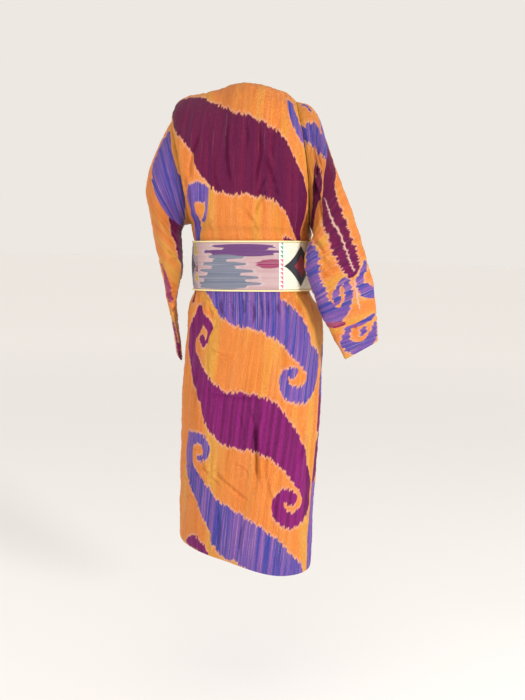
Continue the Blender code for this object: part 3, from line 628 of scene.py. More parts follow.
@dataclass(frozen=True)
class RobeCut:
    """The robe's large sheets at the fineness of worn cloth, before they are cut into pieces.

    Attributes:
        fine: How many columns stand for one of the frame's.
        step: The most that two rows stand apart.
        chest_rows: Rows from the underarm to the shoulder.
        sleeve_columns: Columns round a sleeve.
        sleeve_steps: Rows from one of a sleeve's rings to the next.
    """

    fine: int = 5
    step: float = 0.0038
    chest_rows: int = 88
    sleeve_columns: int = 150
    sleeve_steps: int = 13
    left_strip: int = 7
    left_of_neck: int = 4
    neck: int = 11
    right_of_neck: int = 4
    right_strip: int = 7

    @property
    def main(self) -> int:
        """Columns of the middle panel."""
        return (self.left_of_neck + self.neck + self.right_of_neck) * self.fine

    def heights(self) -> Array:
        """The rows' heights from the hem up to the underarm."""
        stops = ROW_HEIGHTS[::-1]
        counts = [max(1, math.ceil((b - a) / self.step)) for a, b in zip(stops, stops[1:])]
        return steps_between(stops, counts)

    def rises(self) -> Array:
        """The chest's rows above the underarm, 0 to 1."""
        return np.arange(1, self.chest_rows + 1) / self.chest_rows

    def under_belt_row(self) -> int:
        """The row under the belt where the right-hand side panel ends."""
        return int(np.argmin(np.abs(self.heights() - UNDER_BELT_Z)))

    def back(self) -> ClothGrid:
        """All of the back, from the hem up to the shoulders."""
        strip, main = self.left_strip * self.fine, self.main
        counts = [strip, main, self.right_strip * self.fine]
        rows, across = [], []
        names = ("side_left", "back_left", "back_right", "side_right")
        for z in self.heights():
            shares = steps_between([float(column_of(SEAM_ROWS, n, "z", z)) for n in names], counts)
            rows.append(BODY.row(z, shares))
            across.append(shares * BODY.length(z))
        low_x, first, last = rows[-1][:, 0], strip, strip + main
        stops = [SHOULDER_TIPS[0], NECK_LEFT_X, NECK_RIGHT_X, SHOULDER_TIPS[1]]
        shoulder = (self.left_strip + self.left_of_neck) * self.fine
        high_x = steps_between(stops, [shoulder, self.neck * self.fine, shoulder])
        high = (high_x[first : last + 1] - high_x[first]) / (high_x[last] - high_x[first])
        low = np.linspace(0.0, 1.0, main + 1)
        middle_x = float(BODY.ring(UNDERARM_Z, np.array([0.0]))[0, 0])
        for rise in self.rises():
            share = float(smooth(rise, 0.0, 1.0))
            seams = low_x[[first, last]] * (1 - share) + high_x[[first, last]] * share
            seams = seams - np.array([SEAM_HOLLOW, 0.0]) * math.sin(math.pi * rise)
            a, b = ChestForm.places_at(rise, Facing.BACK, seams)
            middle = a + (b - a) * (low + (high - low) * share)
            left = np.linspace(0.0, a, strip + 1)[:-1]
            right = np.linspace(b, 1.0, self.right_strip * self.fine + 1)[1:]
            row = ChestForm.row(rise, np.concatenate([left, middle, right]), Facing.BACK)
            run = run_of(row[None], 1)[0]
            rows.append(row)
            across.append(np.interp(middle_x, row[::-1, 0], run[::-1]) - run)
        points = self.eased(np.array(rows))
        return ClothGrid(points, np.array(across), self.warp_lengths(points), all_cells(points))

    def eased(self, points: Array, rounds: int = 30, reach: float = 10.0, edge: int = 10) -> Array:
        """Softens the turn in the cloth at the underarm's height, away from the sheet's edges."""
        joint = len(self.heights()) - 1
        near = np.exp(-(((np.arange(len(points)) - joint) / reach) ** 2))
        columns = np.minimum(np.arange(points.shape[1]), np.arange(points.shape[1])[::-1])
        weight = near[:, None] * smooth(columns, 0, edge)[None]
        weight[0] = weight[-1] = 0.0
        for _ in range(rounds):
            middle = (np.roll(points, 1, axis=0) + np.roll(points, -1, axis=0)) / 2
            points = points + (middle - points) * weight[:, :, None]
        return points

    def warp_lengths(self, points: Array) -> Array:
        """Each point's place along the warp: its height, or its length run above the underarm."""
        heights = self.heights()
        steps = np.diff(points[len(heights) - 1 :], axis=0)
        climb = UNDERARM_Z + np.cumsum(np.hypot(steps[:, :, 1], steps[:, :, 2]), axis=0)
        return np.concatenate([np.repeat(heights[:, None], points.shape[1], axis=1), climb])

    def front(self, side: Side, shoulder: int = 80, lap_columns: int = 36) -> ClothGrid:
        """One front, from the hem up to the shoulder, from its side seam to its free edge."""
        sign = side.value
        shares = np.linspace(0.0, 1.0, shoulder + 1)
        rows, across = [], []
        name = "side_left" if side is Side.LEFT else "side_right"
        for z in self.heights():
            start, lap = (float(column_of(SEAM_ROWS, n, "z", z)) for n in (name, "lap"))
            stops = [start, sign * (0.5 - lap), sign * (0.5 + lap)]
            at = steps_between(stops, [shoulder - lap_columns, lap_columns])
            rows.append(BODY.row(z, at))
            across.append(at * BODY.length(z))
        low_x, side_place = rows[-1][-1, 0], across[-1][0]
        high_x = NECK_LEFT_X if side is Side.LEFT else NECK_RIGHT_X
        start = 0.0 if side is Side.LEFT else 1.0
        for rise in self.rises():
            height = (1 - math.cos(math.pi * rise)) / 2
            x = low_x + (high_x - low_x) * height**FRONT_EDGE_CURVE
            edge = float(ChestForm.places_at(rise, Facing.FRONT, x))
            row = ChestForm.row(rise, start + (edge - start) * shares, Facing.FRONT)
            rows.append(row)
            across.append(side_place + sign * run_of(row[None], 1)[0])
        points = self.eased(np.array(rows))
        grid = ClothGrid(points, np.array(across), self.warp_lengths(points), all_cells(points))
        if side is Side.LEFT:
            rises = np.concatenate([np.zeros(len(self.heights())), self.rises()])
            fade = np.outer(smooth(rises, *FRONT_LAP_FADE), smooth(shares, *FRONT_LAP_START))
            lift = FRONT_LAP_RISE * fade
            grid.points = grid.points + outward_normals(grid) * lift[:, :, None]
        return grid

    def sleeve(self, side: Side) -> ClothGrid:
        """A whole sleeve as a sheet rolled round the arm, whose long edges meet under it."""
        form, columns, steps = SLEEVES[side], self.sleeve_columns, self.sleeve_steps
        turns = np.radians(np.linspace(-140.0, 220.0, columns + 1))
        places = np.linspace(0, len(form.rings) - 1, (len(form.rings) - 1) * steps + 1)
        points = np.array([form.ring(at, turns) for at in places])
        run = run_of(points, 1)
        zero = int(np.argmin(np.abs(turns)))
        middle = points.mean(axis=1)
        down = np.concatenate([[0.0], np.cumsum(np.linalg.norm(np.diff(middle, axis=0), axis=1))])
        across = np.repeat(down[:, None], columns + 1, axis=1)
        return ClothGrid(points, across, run - run[:, zero : zero + 1], all_cells(points))


def outward_normals(grid: ClothGrid) -> Array:
    """The grid's normals, turned so that they point away from the garment's inside."""
    normals = grid.normals()
    middle = grid.points.mean(axis=(0, 1)) * [1, 0, 1]
    if ((grid.points - middle) * normals).sum() < 0:
        normals = -normals
    return normals


@dataclass(frozen=True)
class Spot:
    """A place on the cut cloth that a dyed stroke passes, with half its width there."""

    across: float
    along: float
    half: float


@dataclass(frozen=True)
class Stroke:
    """A dyed stroke of the pattern, drawn through its spots in turn."""

    spots: tuple[Spot, ...]

    def smoothed(self, steps: int = 5) -> list[tuple[float, float, float]]:
        """More spots on a smooth curve through its own."""
        if len(self.spots) < 3:
            return [(s.across, s.along, s.half) for s in self.spots]
        index = np.arange(len(self.spots))
        at = np.linspace(0, len(self.spots) - 1, (len(self.spots) - 1) * steps + 1)
        names = ("across", "along", "half")
        parts = [through(index, [getattr(s, n) for s in self.spots], at) for n in names]
        return [tuple(row) for row in np.stack(parts, axis=1).tolist()]

    def distance(self, across: Array, along: Array) -> Array:
        """How far each place lies outside the stroke. It is negative within it."""
        found = np.full(across.shape, 9.0)
        spots = self.smoothed()
        for (ax, ay, a_half), (bx, by, b_half) in zip(spots, spots[1:]):
            dx, dy = bx - ax, by - ay
            span = max(dx * dx + dy * dy, 1e-12)
            t = np.clip(((across - ax) * dx + (along - ay) * dy) / span, 0.0, 1.0)
            away = np.hypot(across - ax - t * dx, along - ay - t * dy)
            found = np.minimum(found, away - a_half - t * (b_half - a_half))
        return found


@dataclass(frozen=True)
class Dyes:
    """The strokes of each dye on one sheet. The third dye is for small touches of colour."""

    first: tuple[Stroke, ...] = ()
    second: tuple[Stroke, ...] = ()
    touch: tuple[Stroke, ...] = ()
    pale: tuple[Stroke, ...] = ()
    farthest: float = 0.05

    def distances(self, across: Array, along: Array) -> Array:
        """The distance to each dye's nearest stroke, as four columns. The last is left undyed."""
        found = []
        for strokes in (self.first, self.second, self.touch, self.pale):
            nearest = np.full(across.shape, self.farthest)
            for stroke in strokes:
                nearest = np.minimum(nearest, stroke.distance(across, along))
            found.append(nearest)
        return np.stack(found, axis=-1)


@dataclass(frozen=True)
class Crease:
    """A crease from one place on the cut cloth to another, with its width and depth."""

    across_a: float
    along_a: float
    across_b: float
    along_b: float
    width: float
    depth: float
    bend: float = 0.12
    ridge: float = 0.7
    ridge_off: float = 1.7

    def relief(self, across: Array, along: Array) -> Array:
        """A valley along the crease with a low ridge beside it, fading to its ends."""
        dx, dy = self.across_b - self.across_a, self.along_b - self.along_a
        length = math.hypot(dx, dy)
        t = ((across - self.across_a) * dx + (along - self.along_a) * dy) / length**2
        sway = math.sin(37.0 * self.across_a + 11.0)
        bend = self.bend * length * np.sin(math.pi * np.clip(t, 0, 1)) * sway
        off = ((across - self.across_a) * dy - (along - self.along_a) * dx) / length + bend
        fade = smooth(t, -0.05, 0.3) * smooth(t, 1.05, 0.7)
        valley = np.exp(-((off / self.width) ** 2))
        ridge = np.exp(-(((off - self.ridge_off * self.width) / self.width) ** 2))
        return fade * self.depth * (self.ridge * ridge - valley)


@dataclass(frozen=True)
class Wrinkles:
    """One size of small creases: how many to a metre each way, how they shift, and their height."""

    across: float
    along: float
    seed: float
    shift: float
    height: float


WAVES = (Wrinkles(34, 21, 3.7, 0.0, 1.0), Wrinkles(95, 60, 9.1, 0.0, 0.5))
SHARP_CREASES = (Wrinkles(42, 30, 1.3, 0.35, 0.55), Wrinkles(88, 70, 6.9, -0.35, 0.3))
SHARPNESS = 2.6


def wandering(values: Array, fine: float, wander: float, slow: float) -> Array:
    """Waves whose spacing wanders, fine to a metre and slow in their wandering."""
    return np.sin(values * fine + wander * np.sin(values * slow))


def linked(name: str, data: bpy.types.ID) -> bpy.types.Object:
    """A new object in the scene, with its data."""
    made = bpy.data.objects.new(name, data)
    bpy.context.scene.collection.objects.link(made)
    return made


def select_only(made: bpy.types.Object | None) -> None:
    """Selects one object and makes it the active one, or selects nothing."""
    for other in bpy.context.selected_objects:
        other.select_set(False)
    if made:
        bpy.context.view_layer.objects.active = made
        made.select_set(True)


@dataclass
class ClothPiece:
    """One cut piece of cloth, made as a thin shell on its solid's form.

    Attributes:
        name: The frame's node that it stands for.
        grid: Its points and their places on the cut cloth.
        flat: The width and length of its cut, in metres. It is not used.
        area: The cut's flat area, in square metres. It is not used.
        finishes: The outer cloth and the lining.
        thickness: How thick the shell is.
        dyes: The pattern on it.
        creases: The creases listed for it.
        tuck: How deep the cloth is drawn in at its seams.
        wrinkle: The height of its small wrinkles.
        held: How the cloth is held, in the frame's words. It is not used.
        rests_on: The pieces under it. It is not used.
        seam_reach: How far from a seam the drawn-in cloth reaches.
        pucker_reach: How far from a seam its puckers reach.
        flat_edge: How near a seam the creases fade out.
        dye_step: The step along the warp over which the dyes' slope is read.
    """

    name: str
    grid: ClothGrid
    flat: tuple[float, float]
    area: float
    finishes: tuple[bpy.types.Material, ...]
    thickness: float = 0.0015
    dyes: Dyes = Dyes()
    creases: tuple[Crease, ...] = ()
    tuck: float = 0.0012
    wrinkle: float = 0.0017
    held: str = "hung"
    rests_on: tuple[str, ...] = ()
    seam_reach: float = 0.007
    pucker_reach: float = 0.018
    flat_edge: float = 0.012
    dye_step: float = 0.004

    def build(self) -> bpy.types.Object:
        """Makes the shell, with its pattern and its seams, and lets it ride on the frame.

        Returns:
            The finished piece.
        """
        normals = outward_normals(self.grid)
        edge = self.edge_distance()
        relief = self.relief(edge)
        points = self.grid.points + normals * relief[:, :, None]
        faces, used = self.faces(points, normals)
        mesh = bpy.data.meshes.new(f"{self.name}_cloth")
        mesh.from_pydata(points.reshape(-1, 3)[used].tolist(), [], faces)
        across, along = (values.ravel()[used] for values in (self.grid.across, self.grid.along))
        write_places(mesh, across, along)
        self.write_dyes(mesh, across, along, edge.ravel()[used])
        mesh.update()
        for finish in self.finishes:
            mesh.materials.append(finish)
        made = linked(f"{self.name}_cloth", mesh)
        self.thicken(made)
        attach(made, "root")
        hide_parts(self.name)
        size = cloth_area(points, self.grid.cells)
        log.info("%s: %d triangles, %.4f m2 of cloth", made.name, count_triangles(made), size)
        return made

    def outline(self) -> Array:
        """The indices of the points on the piece's outline."""
        cells = np.pad(self.grid.cells, 1)
        around = np.stack([cells[:-1, :-1], cells[1:, :-1], cells[:-1, 1:], cells[1:, 1:]])
        return np.argwhere(around.any(axis=0) & ~around.all(axis=0))

    def edge_distance(self) -> Array:
        """How far each point lies from the piece's outline, in metres."""
        border = self.outline()
        tree = KDTree(len(border))
        for k, (i, j) in enumerate(border):
            tree.insert(self.grid.points[i, j], k)
        tree.balance()
        flat = [tree.find(p)[2] for p in self.grid.points.reshape(-1, 3)]
        return np.array(flat).reshape(self.grid.points.shape[:2])

    def relief(self, edge: Array) -> Array:
        """How far the cloth stands off its form: seams drawn in, puckers, creases and wrinkles."""
        across, along = self.grid.across, self.grid.along
        relief = -self.tuck * (1 - smooth(edge, 0.0, self.seam_reach))
        pucker = wandering(along, 420, 2.1, 97) * wandering(across, 380, 1.7, 83)
        puckered = smooth(edge, self.pucker_reach, 0.004) * smooth(edge, 0.0, 0.004)
        relief = relief + 0.5 * self.tuck * pucker * puckered
        for crease in self.creases:
            relief += crease.relief(across, along) * smooth(edge, 0.0, self.flat_edge)
        small = [self.crinkle(a, b) for a, b in zip(across.ravel(), along.ravel())]
        return relief + self.wrinkle * np.array(small).reshape(across.shape) * smooth(edge, 0.0, 0.01)

    @staticmethod
    def crinkle(across: float, along: float) -> float:
        """The soft waves and sharp little creases of worn silk at one place on the cut cloth."""
        height = sum(w.height * noise.noise((across * w.across, along * w.along, w.seed)) for w in WAVES)
        bent = noise.noise((across * 18, along * 18, 5.5))
        for w in SHARP_CREASES:
            place = (across * w.across + w.shift * bent, along * w.along - w.shift * bent, w.seed)
            height += w.height * max(1.0 - SHARPNESS * abs(noise.noise(place)), 0.0) ** 2
        return height

    def faces(self, points: Array, normals: Array) -> tuple[list[tuple[int, ...]], list[int]]:
        """The piece's faces, numbered after the points that they use, facing outwards."""
        columns = points.shape[1]
        rings = []
        for i, j in np.argwhere(self.grid.cells):
            a = int(i * columns + j)
            rings.append((a, a + 1, a + columns + 1, a + columns))
        a, b, _, d = (points.reshape(-1, 3)[rings[len(rings) // 2][k]] for k in range(4))
        facing = np.cross(b - a, d - a) @ normals.reshape(-1, 3)[rings[len(rings) // 2][0]]
        if facing < 0:
            rings = [ring[::-1] for ring in rings]
        used = sorted({k for ring in rings for k in ring})
        number = {old: new for new, old in enumerate(used)}
        return [tuple(number[k] for k in ring) for ring in rings], used

    def write_dyes(self, mesh: bpy.types.Mesh, across: Array, along: Array, edge: Array) -> None:
        """Writes how far each point lies from each dye's strokes, and how that changes along the warp."""
        step = self.dye_step
        near = self.dyes.distances(across, along)
        slope = self.dyes.distances(across, along + step) - self.dyes.distances(across, along - step)
        bare = slope[:, 3] / (2 * step)
        write_attribute(mesh, "dye", near[:, :3])
        write_attribute(mesh, "dye_slope", slope[:, :3] / (2 * step))
        write_attribute(mesh, "edge", np.stack([edge, near[:, 3], bare], axis=1))

    def thicken(self, made: bpy.types.Object) -> None:
        """Gives the sheet its thickness on the inner side, with the lining there."""
        select_only(made)
        wall = made.modifiers.new("wall", "SOLIDIFY")
        wall.thickness = self.thickness
        wall.offset = -1.0
        wall.use_even_offset = False
        wall.material_offset = len(self.finishes) - 1
        bpy.ops.object.modifier_apply(modifier=wall.name)
        bpy.ops.object.shade_smooth_by_angle(angle=math.radians(50.0))


def write_places(mesh: bpy.types.Mesh, across: Array, along: Array) -> None:
    """Writes each corner's place on the cut cloth as a UV map, from the places of the points."""
    corners = np.empty(len(mesh.loops), np.int32)
    mesh.loops.foreach_get("vertex_index", corners)
    places = np.stack([across, along], axis=1)[corners]
    mesh.uv_layers.new(name="cut").data.foreach_set("uv", places.astype(np.float32).ravel())


def write_attribute(mesh: bpy.types.Mesh, name: str, values: Array) -> None:
    """Writes three values on each point of a mesh."""
    layer = mesh.attributes.new(name, "FLOAT_VECTOR", "POINT")
    layer.data.foreach_set("vector", np.asarray(values, np.float32).ravel())


def cloth_area(points: Array, cells: Array) -> float:
    """The area of a grid's cells."""
    a, b, c, d = points[:-1, :-1], points[:-1, 1:], points[1:, 1:], points[1:, :-1]
    areas = np.linalg.norm(np.cross(c - a, d - b), axis=2) / 2
    return float(areas[cells].sum())


def count_triangles(made: bpy.types.Object) -> int:
    """How many triangles an object's mesh has."""
    return sum(len(face.vertices) - 2 for face in made.data.polygons)


Socket = bpy.types.NodeSocket
Value = float | Socket


def tone(red: int, green: int, blue: int) -> tuple[float, float, float, float]:
    """A colour as the shader takes it, from its levels of 0 to 255 on a screen."""
    levels = [c / 255 for c in (red, green, blue)]
    linear = [c / 12.92 if c <= 0.04045 else ((c + 0.055) / 1.055) ** 2.4 for c in levels]
    return (*linear, 1.0)


class Bench:
    """Places the nodes of one material or group and joins them."""

    def __init__(self, tree: bpy.types.NodeTree) -> None:
        """Keeps the tree that the nodes go in."""
        self.tree = tree

    def node(self, kind: str, **settings: object) -> bpy.types.Node:
        """Adds a node and sets its properties."""
        made = self.tree.nodes.new(kind)
        for name, value in settings.items():
            setattr(made, name, value)
        return made

    def feed(self, socket: Socket, value: Value | tuple[float, ...]) -> None:
        """Joins a socket to another, or sets its value."""
        if isinstance(value, bpy.types.NodeSocket):
            self.tree.links.new(value, socket)
        else:
            socket.default_value = value

    def math(self, operation: str, *values: Value, clamp: bool = False) -> Socket:
        """The result of one sum."""
        made = self.node("ShaderNodeMath", operation=operation, use_clamp=clamp)
        for socket, value in zip(made.inputs, values):
            self.feed(socket, value)
        return made.outputs[0]

    def mix(self, factor: Value, a: Value | tuple, b: Value | tuple, blend: str = "MIX") -> Socket:
        """The colour between two others."""
        made = self.node("ShaderNodeMix", data_type="RGBA", blend_type=blend)
        found = {s.identifier: s for s in made.inputs}
        self.feed(found["Factor_Float"], factor)
        self.feed(found["A_Color"], a)
        self.feed(found["B_Color"], b)
        return next(s for s in made.outputs if s.identifier == "Result_Color")

    def span(self, value: Value, low: Value, high: Value, start: float = 0.0, end: float = 1.0) -> Socket:
        """A smooth step from start to end as the value goes from low to high."""
        made = self.node("ShaderNodeMapRange", interpolation_type="SMOOTHSTEP")
        for socket, given in zip(made.inputs, (value, low, high, start, end)):
            self.feed(socket, given)
        return made.outputs[0]

    def point(self, x: Value, y: Value, z: Value = 0.0) -> Socket:
        """A vector from its three parts."""
        made = self.node("ShaderNodeCombineXYZ")
        for socket, value in zip(made.inputs, (x, y, z)):
            self.feed(socket, value)
        return made.outputs[0]

    def stretched(
        self, across: Socket, along: Socket, fine: Value, slow: Value, seed: float, detail: float
    ) -> Socket:
        """Cloudy values from 0 to 1, drawn out one way.

        Args:
            across: The first coordinate.
            along: The second coordinate.
            fine: How many clouds there are to a metre of the first.
            slow: How many there are to a metre of the second.
            seed: A number that sets it apart from others.
            detail: How fine its smallest parts are.

        Returns:
            The values.
        """
        at = self.point(self.math("MULTIPLY", across, fine), self.math("MULTIPLY", along, slow), seed)
        return self.speckle(at, detail)

    def parts(self, vector: Socket) -> tuple[Socket, Socket, Socket]:
        """The three parts of a vector."""
        made = self.node("ShaderNodeSeparateXYZ")
        self.feed(made.inputs[0], vector)
        return made.outputs[0], made.outputs[1], made.outputs[2]

    def speckle(self, vector: Socket, detail: float = 2.0, scale: float = 1.0) -> Socket:
        """Smooth noise over a plane or a space."""
        made = self.node("ShaderNodeTexNoise", noise_dimensions="3D")
        self.feed(made.inputs["Vector"], vector)
        made.inputs["Scale"].default_value = scale
        made.inputs["Detail"].default_value = detail
        return made.outputs[0]

    def hash(self, value: Socket) -> Socket:
        """A number between 0 and 1 for each whole number."""
        made = self.node("ShaderNodeTexWhiteNoise", noise_dimensions="1D")
        self.feed(made.inputs["W"], value)
        return made.outputs[0]

    def place(self) -> tuple[Socket, Socket]:
        """Where the shaded point lies on the cut cloth: across the warp and along it."""
        made = self.node("ShaderNodeUVMap", uv_map="cut")
        across, along, _ = self.parts(made.outputs[0])
        return across, along

    def attribute(self, name: str) -> tuple[Socket, Socket, Socket]:
        """The three parts of a point attribute."""
        made = self.node("ShaderNodeAttribute", attribute_name=name)
        return self.parts(made.outputs["Vector"])

    def group(self, tree: bpy.types.NodeTree, **values: Value | tuple) -> dict[str, Socket]:
        """Places a node group with its own values.

        Args:
            tree: The group.
            **values: What goes into its inputs, by name.

        Returns:
            Its outputs by name.
        """
        made = self.node("ShaderNodeGroup", node_tree=tree)
        for name, value in values.items():
            self.feed(made.inputs[name], value)
        return {s.name: s for s in made.outputs}


class Groups:
    """The shader groups that more than one finish uses, each built once."""

    made: dict[str, bpy.types.NodeTree] = {}

    @classmethod
    def get(
        cls, name: str, inputs: Sequence[str], outputs: Sequence[str], fill: Callable
    ) -> bpy.types.NodeTree:
        """A group with number sockets, filled the first time it is asked for.

        Args:
            name: The group's name.
            inputs: Names of its inputs.
            outputs: Names of its outputs.
            fill: Takes the bench and the inputs, and gives the outputs in turn.

        Returns:
            The group.
        """
        if name not in cls.made:
            tree = bpy.data.node_groups.new(name, "ShaderNodeTree")
            for socket in inputs:
                tree.interface.new_socket(socket, in_out="INPUT", socket_type="NodeSocketFloat")
            for socket in outputs:
                tree.interface.new_socket(socket, in_out="OUTPUT", socket_type="NodeSocketFloat")
            bench = Bench(tree)
            start, end = bench.node("NodeGroupInput"), bench.node("NodeGroupOutput")
            results = fill(bench, *start.outputs[: len(inputs)])
            for socket, result in zip(end.inputs, results):
                bench.feed(socket, result)
            cls.made[name] = tree
        return cls.made[name]

    @classmethod
    def warp_threads(cls) -> bpy.types.NodeTree:
        """How far each bundle of warp threads slipped in dyeing, and the streaks along them."""

        def fill(
            b: Bench, across: Socket, along: Socket, reach: Socket, bundle: Socket
        ) -> tuple[Socket, ...]:
            """Gives the slip of the threads, fine streaks and broad ones."""
            wide = b.hash(b.math("FLOOR", b.math("DIVIDE", across, bundle)))
            narrow = b.hash(b.math("FLOOR", b.math("MULTIPLY_ADD", across, 520.0, 0.37)))
            slow = b.speckle(b.point(b.math("MULTIPLY", across, 42.0), 0.0), 1.0)
            slip = b.math("SUBTRACT", wide, 0.5)
            slip = b.math("MULTIPLY_ADD", b.math("SUBTRACT", narrow, 0.5), 0.55, slip)
            slip = b.math("MULTIPLY_ADD", b.math("SUBTRACT", slow, 0.5), 1.6, slip)
            streak = b.stretched(across, along, 380.0, 5.0, 0.0, 3.0)
            broad = b.stretched(across, along, 95.0, 1.6, 4.0, 2.0)
            return b.math("MULTIPLY", slip, reach), streak, broad

        inputs = ("Across", "Along", "Reach", "Bundle")
        return cls.get("warp_threads", inputs, ("Slip", "Streak", "Broad"), fill)

    @classmethod
    def dyed_edge(cls) -> bpy.types.NodeTree:
        """Where a dye took, with its comb of slipped threads, and the pale fringe at its ends."""

        def fill(
            b: Bench, distance: Socket, slope: Socket, slip: Socket, soft: Socket
        ) -> tuple[Socket, ...]:
            """Gives the dyed part and the pale fringe just outside it."""
            off = b.math("MULTIPLY_ADD", slope, slip, distance)
            steep = b.math("ABSOLUTE", slope)
            blur = b.math("MULTIPLY_ADD", b.math("MULTIPLY", steep, steep), soft, 0.0005)
            mask = b.span(off, b.math("MULTIPLY", blur, -1.0), blur, 1.0, 0.0)
            bare = b.math("SUBTRACT", 1.0, mask)
            fringe = b.math("MULTIPLY", b.span(off, -0.002, 0.0085, 1.0, 0.0), bare)
            return mask, b.math("MULTIPLY", fringe, steep, clamp=True)

        return cls.get("dyed_edge", ("Distance", "Slope", "Slip", "Soft"), ("Mask", "Fringe"), fill)

    @classmethod
    def weave(cls) -> bpy.types.NodeTree:
        """The height of the threads: ribs of the weft and uneven warp threads."""

        def fill(b: Bench, across: Socket, along: Socket, rib: Socket) -> tuple[Socket, ...]:
            """Gives the height of the threads."""
            ribs = b.math("SINE", b.math("DIVIDE", along, rib))
            threads = b.stretched(across, along, 1500.0, 90.0, 0.0, 1.0)
            slubs = b.stretched(across, along, 160.0, 420.0, 7.0, 2.0)
            height = b.math("MULTIPLY_ADD", ribs, 0.25, b.math("MULTIPLY", threads, 0.7))
            return (b.math("ADD", height, b.math("MULTIPLY", slubs, 1.1)),)

        return cls.get("weave", ("Across", "Along", "Rib"), ("Height",), fill)


def new_material(name: str) -> tuple[bpy.types.Material, Bench, bpy.types.Node]:
    """An empty material with its bench and its shader."""
    made = bpy.data.materials.new(name)
    made.use_nodes = True
    return made, Bench(made.node_tree), made.node_tree.nodes["Principled BSDF"]


def dress(
    bench: Bench, shader: bpy.types.Node, colour: Value, roughness: Value, normal: Socket
) -> None:
    """Gives a shader its colour, its roughness and its normal."""
    for name, value in (("Base Color", colour), ("Roughness", roughness), ("Normal", normal)):
        bench.feed(shader.inputs[name], value)


def bump(bench: Bench, height: Socket, strength: float, distance: float) -> Socket:
    """The normal that a height gives."""
    made = bench.node("ShaderNodeBump")
    made.inputs["Strength"].default_value = strength
    made.inputs["Distance"].default_value = distance
    bench.feed(made.inputs["Height"], height)
    return made.outputs[0]


@dataclass(frozen=True)
class IkatFinish:
    """Warp-dyed cloth: the ground, two dyes with combed ends, touches of a third, and undyed lines."""

    name: str
    ground: tuple
    ground_deep: tuple
    ground_gold: tuple
    first_high: tuple
    first_low: tuple
    first_dark: tuple
    second: tuple
    second_pale: tuple
    touch: tuple
    fringe: tuple
    reach: float = 0.0085
    bundle: float = 0.0042
    soft: float = 0.0022
    roughness: float = 0.5
    sheen: float = 0.0
    gold: float = 0.75
    selvage: float = 0.8
    selvage_width: float = 0.024
    crinkle: float = 1.6
    specular: float = 0.22
    sheen_roughness: float = 0.4
    rib: float = 0.00019
    relief: float = 0.9
    relief_depth: float = 0.0011
    deeper: float = 0.75
    streaks: float = 0.12
    fringes: float = 0.8
    darker: float = 0.65
    bare: float = 0.85
    low_dye_from_z: float = -0.30
    low_dye_to_z: float = -0.62

    def material(self) -> bpy.types.Material:
        """Builds the finish."""
        made, b, shader = new_material(self.name)
        across, along = b.place()
        warp = b.group(
            Groups.warp_threads(), Across=across, Along=along, Reach=self.reach, Bundle=self.bundle
        )
        near, slope = b.attribute("dye"), b.attribute("dye_slope")
        edges = [
            b.group(Groups.dyed_edge(), Distance=d, Slope=s, Slip=warp["Slip"], Soft=self.soft)
            for d, s in zip(near, slope)
        ]
        streak = b.span(warp["Streak"], 0.35, 0.68)
        broad = b.span(warp["Broad"], 0.36, 0.64)
        colour = b.mix(b.math("MULTIPLY", broad, self.deeper), self.ground, self.ground_deep)
        golden = b.stretched(across, along, 22.0, 2.6, 2.0, 2.0)
        colour = b.mix(b.math("MULTIPLY", b.span(golden, 0.5, 0.72), self.gold), colour, self.ground_gold)
        seam, undyed, undyed_slope = b.attribute("edge")
        selvage = b.math("MULTIPLY", b.span(seam, self.selvage_width, 0.002), self.selvage)
        selvage = b.math("MULTIPLY", selvage, b.span(broad, 0.0, 0.6, 0.4, 1.0))
        colour = b.mix(selvage, colour, self.ground_gold)
        colour = b.mix(b.math("MULTIPLY", streak, self.streaks), colour, self.fringe)
        fringes = b.math("MAXIMUM", edges[0]["Fringe"], edges[1]["Fringe"])
        colour = b.mix(b.math("MULTIPLY", fringes, self.fringes), colour, self.fringe)
        _, _, height = b.parts(b.node("ShaderNodeTexCoord").outputs["Object"])
        lower = b.span(height, self.low_dye_from_z, self.low_dye_to_z)
        first = b.mix(lower, self.first_high, self.first_low)
        first = b.mix(b.math("MULTIPLY", broad, self.darker), first, self.first_dark)
        first = b.mix(b.math("MULTIPLY", b.span(warp["Streak"], 0.6, 0.85), 0.18), first, self.fringe)
        colour = b.mix(edges[0]["Mask"], colour, first)
        second = b.mix(broad, self.second, self.second_pale)
        second = b.mix(b.math("MULTIPLY", b.span(warp["Streak"], 0.5, 0.8), 0.45), second, self.fringe)
        colour = b.mix(edges[1]["Mask"], colour, second)
        touched = b.mix(b.math("MULTIPLY", streak, 0.2), self.touch, self.fringe)
        colour = b.mix(edges[2]["Mask"], colour, touched)
        bare = b.group(
            Groups.dyed_edge(),
            Distance=undyed,
            Slope=undyed_slope,
            Slip=b.math("MULTIPLY", warp["Slip"], 0.6),
            Soft=self.soft,
        )
        colour = b.mix(b.math("MULTIPLY", bare["Mask"], self.bare), colour, self.fringe)
        rough = b.span(warp["Streak"], 0.2, 0.8, self.roughness - 0.05, self.roughness + 0.1)
        shader.inputs["Sheen Weight"].default_value = self.sheen
        shader.inputs["Sheen Roughness"].default_value = self.sheen_roughness
        shader.inputs["Specular IOR Level"].default_value = self.specular
        threads = b.group(Groups.weave(), Across=across, Along=along, Rib=self.rib)
        bent = b.stretched(across, along, 40.0, 40.0, 2.5, 1.0)
        bent_across = b.math("MULTIPLY_ADD", across, 150.0, bent)
        bent_along = b.math("MULTIPLY_ADD", along, 110.0, bent)
        crinkle = b.speckle(b.point(bent_across, bent_along, 8.0), 2.0)
        ridge = b.math("ABSOLUTE", b.math("SUBTRACT", crinkle, 0.5))
        fold = b.span(ridge, 0.09, 0.0)
        height = b.math("MULTIPLY_ADD", fold, self.crinkle, threads["Height"])
        dress(b, shader, colour, rough, bump(b, height, self.relief, self.relief_depth))
        return made


